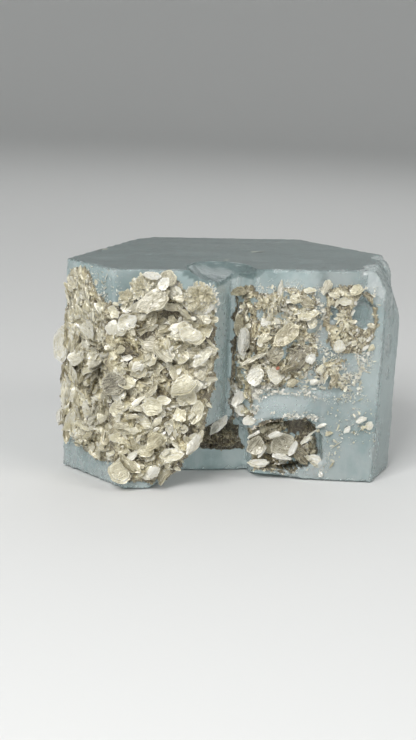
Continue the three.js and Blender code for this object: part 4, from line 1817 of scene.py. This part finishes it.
STEP_OUTLINE = (
    (-33, 43.4), (-28.8, 42.6), (-26.6, 45), (-25.2, 48.6), (-21.7, 50), (-16.4, 49.4),
    (-13.4, 47), (-8, 47.4), (-6.4, 43), (-6, 33), (-6.4, 24), (-8, 15.5), (-10.4, 10.5),
    (-14, 5), (-18.4, 2.2), (-25.6, 1.2), (-30, 3.6),
)
LEFT_OUTLINE = (
    (0.8, 46), (2.6, 49.2), (8.6, 50), (12, 46), (16, 43.4), (22, 42.2), (24.4, 5),
    (16, 4.6), (8, 6), (2, 8.4), (-0.4, 11), (-0.4, 35), (0.8, 39),
)
BACK_LEFT_OUTLINE = ((-3.6, 30), (-1.6, 33.6), (0.8, 34), (0.8, 13.4), (-3, 15.5), (-4.8, 22))
LEFT_FRONT = (
    Patch(
        STEP_FACE,
        STEP_OUTLINE,
        2.4,
        (
            Drift(((-34, 44), (-26, 50), (-6, 50), (-4, 14), (-12, 12), (-36, 14)), Habit.SCALES),
            Drift(((-36, 14), (-12, 12), (-4, 14), (-12, 0), (-30, 0)), Habit.FANS),
            Drift(((-27, 36), (-12, 38), (-8, 26), (-10, 14), (-24, 12)), Habit.GLINTS, 0.86),
            Drift(((-30, 12), (-12, 12), (-12, 2), (-26, 2)), Habit.GLINTS, 0.9),
        ),
        leaves=(
            Leaf(-21.8, 44.6, 4.2, 9.4, 4.4, 33, 38, tone=0.5, gloss=0.5, warmth=0.3, shape=SLAB),
            oval(-19.2, 48.2, 4, 3.6, 3, 60, 26, tone=0.85, warmth=0.2),
            oval(-21.8, 50, 2.8, 4.6, 2.6, -8, 44, tone=0.95, warmth=0.4),
            oval(-18, 49.4, 1.6, 4.4, 4.2, 60, 10, tone=0.55, warmth=0.5),
            Leaf(-14.6, 41.6, 3.4, 7, 2.6, -43, 78, tone=0.6, warmth=0.6, layers=3),
            Leaf(-12.9, 36.2, 4.2, 5.8, 4.6, 22, 40, tone=0.72, warmth=0.5, shape=SHELL),
            oval(-9.8, 31.6, 3.4, 6.8, 3, 50, 30, tone=0.74, gloss=0.8, warmth=0.5),
            Leaf(-14.2, 24.6, 3.4, 6.6, 5, 20, 46, tone=0.66, warmth=0.8, layers=3, shape=BOWL),
            oval(-30.4, 25.2, 2.8, 6.4, 6.2, 20, 8, tone=0.24, warmth=0.1),
            Leaf(-25.2, 29.4, 3.4, 3, 2.4, 20, 40, tone=0.8, warmth=0.4),
            Leaf(-28.4, 4.8, 2.6, 5.4, 5.2, 30, 14, tone=0.62, warmth=0.8, shape=BOWL),
            Leaf(-11.6, 10.6, 3, 5.6, 2.6, 62, 70, tone=0.85, warmth=0.2, layers=5),
            Leaf(-21, 4.6, 3, 3.4, 3, 40, 60, tone=0.9, warmth=0.1),
            Leaf(-10.2, 44.8, 2, 8, 7.4, 30, 6, tone=0.9, warmth=0.8, layers=3, shape=OVAL),
            shell(-12, 43.6, 2.9, 3.8, 2.8, 40, 24, tone=0.6, warmth=0.8),
            shell(-9.8, 45.4, 3.2, 3.6, 2.2, -34, 20, tone=0.66, gloss=0.8, warmth=1),
            shell(-8.2, 43.2, 2.8, 3.6, 2.4, 64, 10, tone=0.9, warmth=0.5),
            Leaf(-23.4, 47.4, 1.8, 6.4, 5.6, 30, 6, tone=0.85, warmth=0.9, layers=3, shape=OVAL),
        ),
        rosettes=(
            Rosette((-23.6, 47.2, 2), 3, 220, (-10, 24), (1.4, 0.8), (0.62, 0.88), (1, 1)),
            Rosette((-27.4, 45, 1.6), 1.9, 90, (-10, 24), (1.3, 0.7), (0.55, 0.8), (1, 1)),
            Rosette((-10.4, 44.9, 2.2), 3.4, 200, (-10, 24), (1.6, 0.9), (0.6, 0.86), (1, 1)),
            Rosette((-9.6, 44.4, 1.8), 4, 180, (-14, 0), (1, 0.5), (0.85, 1), (0.6, 1)),
            Rosette((-10, 45.6, 3.2), 2, 40, (0, 20), (1.8, 1), (0.48, 0.64), (1, 1)),
        ),
        hollows=(
            Hollow(-17.6, 41.2, 2.4, 3), Hollow(-22.6, 36.4, 2, 2.6), Hollow(-8.8, 36, 2.2, 3.4),
            Hollow(-26.4, 32, 1.8, 2.2), Hollow(-19.6, 22.6, 2, 2), Hollow(-24, 17.4, 2, 2),
            Hollow(-8.4, 21.6, 1.4), Hollow(-12, 14, 1.6, 2),
        ),
    ),
)
DUSTED_STRIP = ((9, 50.5), (14, 50.5), (19, 43), (24, 43), (24, 40), (16, 40), (9, 46))
LEFT_SIDE = (
    Patch(
        LEFT_FACE,
        LEFT_OUTLINE,
        1.5,
        (
            Drift(((0, 50), (12, 50), (27, 44), (27, 33), (8, 33), (-1, 36)), Habit.SHAG),
            Drift(((-1, 36), (8, 33), (9, 12), (4, 6), (-1, 10)), Habit.BOOKS),
            Drift(((8, 33), (27, 33), (27, 15), (9, 12)), Habit.SCALES),
            Drift(((4, 6), (9, 12), (27, 15), (26, 2), (8, 4)), Habit.FANS),
        ),
        leaves=(
            Leaf(13.6, 36.4, 2.8, 5.2, 4.6, -20, 8, tone=0.74, warmth=0.5),
            Leaf(0.8, 30.2, 1.7, 8.2, 4.4, 86, -42, tone=0.9, warmth=0.5, layers=3, shape=OVAL),
            oval(1.4, 12.6, 1.4, 4.8, 3, 84, -42, tone=0.95, warmth=0.1),
        ),
        hollows=(Hollow(9, 41, 1), Hollow(6.4, 16, 1.4), Hollow(12, 21, 1.6)),
        bed_tone=0.76,
        shingle=0.6,
    ),
    Patch(
        LEFT_FACE,
        drifts=(
            Drift(DUSTED_STRIP, Habit.FLECKS, 0.2),
            Drift(((12, 50.5), (23, 50), (23, 41), (14, 43)), Habit.FLECKS, 0.75),
        ),
    ),
    Patch(BACK_LEFT_FACE, BACK_LEFT_OUTLINE, 0.5, (Drift(BACK_LEFT_OUTLINE, Habit.CRUMBS),)),
)
ARCH_OUTLINE = (
    (-12.4, 8.4), (-10, 11.6), (-4, 13), (1.6, 12), (3.8, 7.6), (3.6, 5.2), (-4, 4.8), (-10.4, 5),
)
ARCH = (
    Patch(
        ARCH_FACE,
        ARCH_OUTLINE,
        2,
        (Drift(ARCH_OUTLINE, Habit.DARK_CRUMBS),),
        leaves=(Leaf(-3.4, 13, 5, 7.6, 2.6, 54, 34, tone=0.9, warmth=0.2, layers=2, shape=SLAB),),
        bed_tone=0.1,
    ),
)
GROOVE_OUTLINE = ((1, 16), (0.8, 46), (5, 47.5), (7.4, 46), (7.6, 15), (4, 14))
FLOOR_OUTLINE = ((-0.6, 12), (-0.7, 36), (0, 44), (1.2, 44), (1.2, 12))
COLUMN_OUTLINE = ((-0.8, 23), (1.6, 23.6), (3, 20), (3.6, 14), (1, 13.6), (-0.6, 17))
GROOVE = (
    # The groove's floor gets a dark bed: partly brown mica, partly painted shade in the groove.
    Patch(FLOOR_FACE, FLOOR_OUTLINE, 0.9, (Drift(FLOOR_OUTLINE, Habit.DARK_CRUMBS),), bed_tone=0.24),
    Patch(
        GROOVE_FACE,
        GROOVE_OUTLINE,
        1.2,
        (
            Drift(((-1, 14), (-1, 47), (2.6, 47), (2.6, 14)), Habit.DARK_CRUMBS),
            Drift(((2.6, 14), (2.6, 26), (8, 26), (8, 14)), Habit.CRUMBS),
            Drift(((2.2, 30), (2.2, 42), (8, 42), (8, 30)), Habit.CRUMBS),
            Drift(((2.6, 24), (2.6, 47), (8, 47), (8, 24)), Habit.DARK_CRUMBS, 0.5),
        ),
        leaves=(
            Leaf(5.2, 34.2, 2.4, 6.6, 3.4, 84, -24, tone=0.9, warmth=0.1, layers=5),
            Leaf(3, 37, 1.8, 6.4, 2.8, 84, -30, tone=0.4, warmth=0.8),
            Leaf(2.8, 45.6, 2.4, 5.2, 2.8, 6, 50, tone=0.3, warmth=1, layers=3),
        ),
        bare=-0.3,
    ),
    Patch(
        FLOOR_FACE,
        COLUMN_OUTLINE,
        2.6,
        (Drift(COLUMN_OUTLINE, Habit.SNOW),),
        leaves=(
            shell(0.6, 19.6, 4.4, 4.6, 3, 70, 20, tone=0.9, warmth=0.2),
            shell(1.4, 16.6, 4.6, 3.2, 2.4, 100, 20, tone=0.95, warmth=0.2),
            oval(3.4, 14.6, 6, 3.8, 2.8, 10, 24, tone=0.9, warmth=0.4),
        ),
        bed_tone=0.75,
    ),
)
UPPER_OUTLINE = (
    (3.4, 45), (11.6, 46.8), (17.4, 47), (19, 41.5), (18.6, 35.4), (19.6, 31.6), (17.4, 26),
    (14.6, 22.4), (8, 22.6), (2.8, 22), (2.6, 38),
)
UPPER = (
    Patch(
        RIGHT_FACE,
        UPPER_OUTLINE,
        1.3,
        (
            Drift(((4.4, 46), (10.4, 46), (11, 40), (4.4, 39)), Habit.BLADES),
            Drift(((10, 48), (19, 48), (20, 38), (9.6, 38)), Habit.CRUMBS),
            Drift(((2, 39), (20, 38.5), (21, 21), (2, 21)), Habit.CRUMBS),
            Drift(((2, 49), (20, 49), (20, 38), (2, 38)), Habit.FLECKS),
            Drift(((2, 48), (20, 48), (20, 22), (2, 22)), Habit.GLINTS, 0.85),
        ),
        leaves=(
            Leaf(9.2, 46.4, 0.8, 4.2, 1.3, 84, 10, tone=0.85, warmth=0.2),
            Leaf(15.4, 44, 1.6, 4.6, 2.6, -24, 50, tone=0.34, warmth=0.8, layers=3),
            pair(13, 44.4, 1.4, 4, 2.8, 20, 30, tone=0.6, warmth=0.8),
            pair(16.2, 46.4, 1.2, 3.2, 1.6, 10, 50, tone=0.8, warmth=1),
            Leaf(15.6, 40.6, 1.8, 5.2, 2.6, 24, 56, tone=0.66, warmth=1, layers=3),
            Leaf(17.2, 39, 1.4, 3.2, 2.2, 70, 30, tone=0.75, warmth=0.9),
            oval(10.8, 36, 2.6, 8, 4, 40, 34, tone=0.42, gloss=0.9, warmth=0.8),
            Leaf(6, 38.6, 1.2, 2.8, 2, 20, 20, tone=0.92, warmth=0.1),
            Leaf(5.4, 34.4, 1.6, 3.4, 2.8, 60, 30, tone=0.6, warmth=0.8),
            Leaf(3.6, 30.4, 2.2, 7.4, 1.6, 24, 84, tone=0.5, warmth=0.3, layers=2, shape=SLAB),
            Leaf(8.6, 31, 1.4, 5, 3.4, 20, 40, tone=0.3, gloss=0.6, warmth=0.4, layers=3),
            Leaf(14.6, 30.6, 1.4, 7, 5.4, 40, 20, tone=0.2, gloss=0.6, warmth=0.4, layers=3),
            Leaf(17, 30.6, 2.4, 3.2, 2.2, 66, 20, tone=0.95, warmth=0.3),
            Leaf(12.2, 28, 2, 5.6, 2.8, 30, 56, tone=0.26, warmth=0.8, layers=3),
            pair(3.8, 25.6, 1.8, 5.4, 4.4, 48, 26, tone=0.78, gloss=0.4, warmth=0.1),
            Leaf(9.4, 26.2, 1.8, 5.6, 4.2, -14, 34, tone=0.74, warmth=0.3, layers=3),
            Leaf(12.8, 24.2, 1.6, 3, 2, 30, 50, tone=0.6, warmth=0.8),
        ),
        bare=-0.36,
    ),
)
RING_OUTLINE = (
    (20.4, 46.8), (25, 47.6), (29, 47.4), (32.6, 44), (33.6, 39.2), (33.2, 35), (30, 31.2),
    (26, 30.4), (22.4, 32), (20.2, 38),
)
RING_WINDOWS = (
    ((29.2, 45.2), (31.8, 42.8), (32.6, 38.2), (30.6, 36.8), (28.2, 38), (26.9, 40.6)),
    ((22, 42.4), (23.8, 41.6), (24, 38.6), (22, 38)),
)
RING = (
    Patch(
        RIGHT_FACE,
        RING_OUTLINE,
        1.2,
        (Drift(RING_OUTLINE, Habit.CRUMBS),),
        leaves=(
            pair(20.4, 47, 1, 4, 2.8, 70, 10, tone=0.62, gloss=0.3, warmth=0.35),
            Leaf(27.6, 47, 1.4, 3.4, 2.2, 20, 40, tone=0.6, warmth=1),
            Leaf(24, 33, 1.2, 3.6, 2.6, 80, 20, tone=0.85, warmth=0.6),
        ),
        hollows=(Hollow(27.6, 35, 0.9, 1.2),),
        windows=RING_WINDOWS,
        bare=-0.75,
    ),
)
MIDDLE_OUTLINE = (
    (18.4, 22.6), (17.6, 26), (20, 29.6), (24, 30.4), (27.4, 28.4), (28, 25), (25.6, 21), (22, 21.6),
)
MIDDLE = (
    Patch(
        RIGHT_FACE,
        MIDDLE_OUTLINE,
        0.8,
        (
            Drift(MIDDLE_OUTLINE, Habit.CRUMBS, 0.1),
            Drift(((15, 19), (15, 31), (30, 32), (30, 19)), Habit.FLECKS, 0.3),
        ),
        leaves=(
            Leaf(23.4, 25, 1.2, 3.8, 1.6, 62, 60, tone=0.35, warmth=0.8, shape=SCALE),
            Leaf(20, 27.4, 0.6, 3, 2, 40, 30, tone=0.8, warmth=1),
            Leaf(18.4, 24.2, 0.6, 2.4, 1.4, 20, 30, tone=1, warmth=0),
        ),
        bed_tone=0.6,
        bare=-0.1,
        snug=True,
    ),
)
LOWER_OUTLINE = (
    (3, 2), (3, 12.6), (8.4, 14.8), (18, 15.2), (20.6, 12.4), (21.4, 8), (21.6, 4.4), (13, 1.4),
)
LOWER = (
    Patch(
        RIGHT_FACE,
        LOWER_OUTLINE,
        1.6,
        (
            Drift(((3, 1), (3, 15), (13.4, 15), (13.4, 1)), Habit.CRUMBS, 0.1),
            Drift(((12, 1), (12, 8), (27, 8), (27, 1)), Habit.CRUMBS, 0.2),
            Drift(((12, 8), (12, 16), (19, 16), (19, 8)), Habit.DARK_CRUMBS),
            Drift(((18, 8), (18, 16), (27, 16), (27, 8)), Habit.CRUMBS, 0.4),
        ),
        leaves=(
            Leaf(11.6, 8.6, 0.4, 7, 6.6, -30, 14, tone=0.42, warmth=0.2, layers=2, shape=BOWL),
            oval(14, 7.8, 1.5, 4.8, 1.7, 66, 20, tone=0.98, gloss=0.8, warmth=0.1),
            oval(11.4, 5.9, 1.3, 5.4, 1.6, -12, 30, tone=0.95, gloss=0.7, warmth=0.2),
            shell(9.6, 11.2, 1.2, 3.8, 1.8, 18, 30, tone=0.92, warmth=0.1),
            Leaf(5.2, 8.4, 0.6, 5.6, 4.2, 56, 20, tone=0.4, warmth=0.2, layers=2, shape=BOWL),
            Leaf(6.6, 7, 1.1, 4, 1.2, 58, 20, tone=0.9, warmth=0.1, layers=1, shape=OVAL),
            pair(4.6, 11.4, 0.8, 4, 1.4, 30, 50, tone=0.85, warmth=0.2),
            pair(16.6, 5.6, 0.2, 6, 4, -34, 36, tone=0.2, gloss=0.6, warmth=0.8),
            Leaf(19.6, 4.8, 0.6, 4.8, 2.6, -24, 40, tone=0.85, warmth=0.5),
            Leaf(6.4, 4.2, 0.4, 5, 2, -4, 40, tone=0.88, warmth=0.3),
            Leaf(18.8, 11.6, 0.4, 4.4, 1.1, 34, 50, tone=0.85, warmth=0.4, layers=2, shape=SCALE),
            Leaf(17.4, 9.6, 0.4, 3.6, 0.9, 40, 50, tone=0.85, warmth=0.3, layers=2, shape=SCALE),
        ),
        hollows=(Hollow(15.4, 12, 2.8, 2.8),),
        bed_tone=0.34,
        bare=-0.46,
        snug=True,
    ),
    Patch(
        RIGHT_FACE,
        drifts=(
            Drift(((18, 14), (22, 13.6), (26, 11), (25, 4), (20, 2), (22, 9)), Habit.FLECKS, 0.2),
            Drift(((8, 3), (13, 2.4), (20, 3), (20, 1.4), (12, 0.8), (8, 1)), Habit.FLECKS, 0.2),
            Drift(((2.6, 1), (6, 1.4), (7, 3), (2.6, 3)), Habit.DARK_CRUMBS),
        ),
        bare=-0.4,
        snug=True,
    ),
)
CORNER_OUTLINE = ((25, 12), (25.4, 15), (29, 16), (33, 14.4), (32.6, 12), (29, 11))
CORNER = (
    Patch(
        RIGHT_FACE,
        CORNER_OUTLINE,
        0.7,
        (Drift(CORNER_OUTLINE, Habit.CRUMBS, 0.3), Drift(CORNER_OUTLINE, Habit.SPARKLES, 0.3)),
        leaves=(
            shell(27, 12.6, 2.1, 2.4, 1.5, 60, 30, tone=0.98, warmth=0.1),
            shell(30.2, 15.2, 2.4, 3, 1.5, 30, 20, tone=1, warmth=0.1),
            shell(32.2, 13.8, 2.6, 2.6, 2, 50, 20, tone=0.85, warmth=0.5),
        ),
        bare=0.1,
        snug=True,
    ),
)
SPRINKLED = (
    Patch(
        RIGHT_FACE,
        drifts=(
            Drift(((3.5, 48), (34, 48), (34, 30), (31, 18), (18, 20), (4, 22)), Habit.FLECKS),
            Drift(((16, 46), (20, 47), (24, 32), (33, 33), (33, 29), (16, 28)), Habit.SPARKLES, 0.1),
            Drift(((17, 28), (34, 31), (33, 19), (17, 19)), Habit.SPARKLES, 0.2),
            Drift(((4, 48.6), (15, 49), (15, 45), (4, 44)), Habit.SPARKLES, 0.2),
        ),
        leaves=(
            Leaf(32.4, 32.6, 0.5, 2.2, 1.4, 30, 20, tone=0.6, warmth=1, shape=SCALE),
            Leaf(31.4, 34.6, 0.4, 1.8, 1, 60, 20, tone=0.98, warmth=0.1, shape=SCALE),
            needle(24.5, 8.9, 2.3, 4.4, 0.5, 34, 10, tone=0.85, warmth=0.9),
            needle(23.7, 4.1, 2.2, 2.8, 0.6, 60, 10, tone=0.4, warmth=0.9),
            shell(22.7, 11.6, 1.7, 2.2, 1.2, 20, 20, tone=0.6, warmth=1),
            needle(24.8, 13.2, 1.8, 2.4, 0.5, 70, 10, tone=0.75, warmth=0.9),
            shell(20.8, 13.4, 1.2, 2.6, 1.2, 20, 30, tone=0.9, warmth=0.3),
            Leaf(21.1, 1.5, 2.2, 1.6, 1.3, 0, 0, tone=1, warmth=0, gloss=0.8, layers=2, shape=SCALE),
        ),
        windows=RING_WINDOWS,
        bare=-0.1,
        snug=True,
    ),
    Patch(
        RIGHT_FACE,
        drifts=(
            Drift(((3, 20), (3, 24), (8, 23.4), (20, 22.6), (20, 20.8), (8, 21)), Habit.SNOW),
            Drift(((2.6, 19), (2.6, 24.4), (8, 24), (9, 21.4), (5, 19)), Habit.SNOW),
            Drift(((3.4, 14.6), (3.4, 18.4), (8, 17), (20, 16.4), (20, 14.8), (9, 15)), Habit.SNOW),
            Drift(((20, 17), (34, 19), (34, 9), (24, 9)), Habit.FLECKS, 0.6),
            Drift(((14, 3), (24, 4), (23, 0.8), (14, 0.8)), Habit.SPARKLES, 0.5),
        ),
        bare=-0.3,
        snug=True,
    ),
    Patch(
        TOP_FACE,
        leaves=(
            streak(-29.6, 3.4, 0.03, 5.4, 0.8, 36, 0, tone=0.75, warmth=0.5),
            streak(9.6, 3.4, 0.03, 6.4, 0.5, 30, 0, tone=0.85, warmth=0.8),
            streak(-1.4, -12, 0.03, 2.4, 0.5, 10, 0, tone=0.8, warmth=0.3),
        ),
    ),
)

RUSTY_GRAIN = (
    Patch(RIGHT_FACE, leaves=(Leaf(9.2, 27.9, 2.9, 1, 0.8, 20, 20, shape=NARROW),)),
)
CLUSTERS = (
    ("mica_left_front", "mica_left_cluster", LEFT_FRONT, 11),
    ("mica_left_side", "mica_left_cluster", LEFT_SIDE, 12),
    ("mica_arch", "mica_arch_crust", ARCH, 29),
    ("mica_groove", "mica_groove_books", GROOVE, 17),
    ("mica_upper", "mica_upper_cluster", UPPER, 23),
    ("mica_ring", "mica_right_ring", RING, 31),
    ("mica_centre", "mica_middle_flecks", MIDDLE, 37),
    ("mica_lower", "mica_lower_cluster", LOWER, 41),
    ("mica_corner", "mica_corner_fleck", CORNER, 43),
    ("mica_sprinkled", None, SPRINKLED, 47),
    ("rusty_grain", None, RUSTY_GRAIN, 53),
)


# ---------------------------------------------------------------- the studio


@dataclass(frozen=True)
class Softbox:
    """A square soft light that looks at the crystal: its place, side and power in watts."""

    name: str
    at: Place
    side: float
    power: float
    aim: Place = (0, 0, 20)

    def build(self) -> None:
        """Hangs the light."""
        data = bpy.data.lights.new(self.name, "AREA")
        data.size = self.side * MM
        data.energy = self.power
        lamp = placed(self.name, data)
        lamp.location = Vector(self.at) * MM
        aim = Vector(self.aim) * MM - lamp.location
        lamp.rotation_euler = aim.to_track_quat("-Z", "Y").to_euler()


@dataclass(frozen=True)
class Studio:
    """A plain pale floor that curves up all round, soft lights and the camera."""

    camera_at: Place = (-72, -414, 110.4)
    heading: float = 9.5
    pitch: float = -12.0
    roll: float = 2.2
    lens: float = 82.7
    clip: Range = (10, 20000)
    floor_level: float = -0.25
    inner_radius: float = 400
    flat_radius: float = 1000
    cove_radius: float = 500
    wall_height: float = 1500
    cove_steps: int = 10
    around: int = 72
    paint: Colour = (0.70, 0.70, 0.69)
    world: Colour = (0.33, 0.345, 0.35)
    lights: tuple[Softbox, ...] = (
        Softbox("key", (-330, -520, 480), 380, 5.2),
        Softbox("fill", (440, -520, 460), 420, 1.9),
        Softbox("back", (160, 560, 520), 480, 0.8),
    )

    def build(self) -> None:
        """Builds all of it."""
        self.floor()
        self.sky()
        for light in self.lights:
            light.build()
        self.camera()
        bpy.context.scene.view_settings.view_transform = "Standard"

    def profile(self) -> list[tuple[float, float]]:
        """The floor's section, from near its middle to the top of its wall.

        Returns:
            Radius and height of each of its points.
        """
        rows = [(self.inner_radius, self.floor_level)]
        for step in range(self.cove_steps + 1):
            turn = math.radians(90 * step / self.cove_steps)
            out, up = self.cove_radius * math.sin(turn), self.cove_radius * (1 - math.cos(turn))
            rows.append((self.flat_radius + out, self.floor_level + up))
        rows.append((self.flat_radius + self.cove_radius, self.wall_height))
        return rows

    def floor(self) -> None:
        """The floor and its cove."""
        rows, around = self.profile(), self.around
        points = [(0.0, 0.0, self.floor_level * MM)]
        for radius, height in rows:
            for turn in (TAU * k / around for k in range(around)):
                spot = Vector((radius * math.cos(turn), radius * math.sin(turn), height))
                points.append(tuple(spot * MM))
        faces: list[tuple[int, ...]] = []
        for k in range(around):
            following = (k + 1) % around
            faces.append((0, 1 + k, 1 + following))
            for row in range(len(rows) - 1):
                a, b = 1 + row * around, 1 + (row + 1) * around
                faces.append((a + k, b + k, b + following, a + following))
        mesh = bpy.data.meshes.new("floor")
        mesh.from_pydata(points, [], faces)
        mesh.polygons.foreach_set("use_smooth", [True] * len(faces))
        mesh.materials.append(
            Finish("pale_floor", {"Base Color": (*self.paint, 1), "Roughness": 0.85}).material
        )
        placed("floor", mesh)

    def sky(self) -> None:
        """Plain grey surroundings."""
        world = bpy.data.worlds.new("surroundings")
        world.use_nodes = True
        world.node_tree.nodes["Background"].inputs["Color"].default_value = (*self.world, 1)
        bpy.context.scene.world = world

    def camera(self) -> None:
        """The camera at its viewing angle."""
        data = bpy.data.cameras.new("camera")
        data.lens = self.lens
        data.clip_start, data.clip_end = (reach * MM for reach in self.clip)
        rotations = ((-self.heading, "Z"), (90 + self.pitch, "X"), (self.roll, "Z"))
        pose = Matrix.Translation(Vector(self.camera_at) * MM)
        for degrees, axis in rotations:
            pose = pose @ Matrix.Rotation(math.radians(degrees), 4, axis)
        eye = placed("camera", data)
        eye.matrix_world = pose
        bpy.context.scene.camera = eye


def report(piece: bpy.types.Object) -> None:
    """Logs a finished piece and its number of triangles."""
    triangles = sum(len(face.vertices) - 2 for face in piece.data.polygons)
    LOG.info("%s: %d triangles", piece.name, triangles)


def main() -> None:
    """Builds the studio and every piece."""
    logging.basicConfig(level=logging.INFO, format="%(message)s")
    noise.seed_set(CLOUD_SEED)
    Studio().build()
    mottle = mottle_group()
    clear = BerylFinish().build(mottle)
    bruised = BerylFinish(
        name="bruised_beryl",
        clear=(0.36, 0.40, 0.40),
        milky=(0.43, 0.47, 0.465),
        whitened=(0.54, 0.58, 0.57),
        transmission=0.0,
    ).build(mottle)
    report(BerylCrystal().build(clear, bruised))
    pearl = MicaFinish().build(mottle)
    rust = Finish("rusty_grain", {"Base Color": (0.30, 0.11, 0.06, 1), "Roughness": 0.6}).material
    ground = Ground(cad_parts[BerylCrystal.node])
    for name, node, patches, seed in CLUSTERS:
        finish = rust if patches is RUSTY_GRAIN else pearl
        for piece in MicaCluster(name, node, patches, seed, ground).build(finish):
            report(piece)


if __name__ == "__main__":
    main()
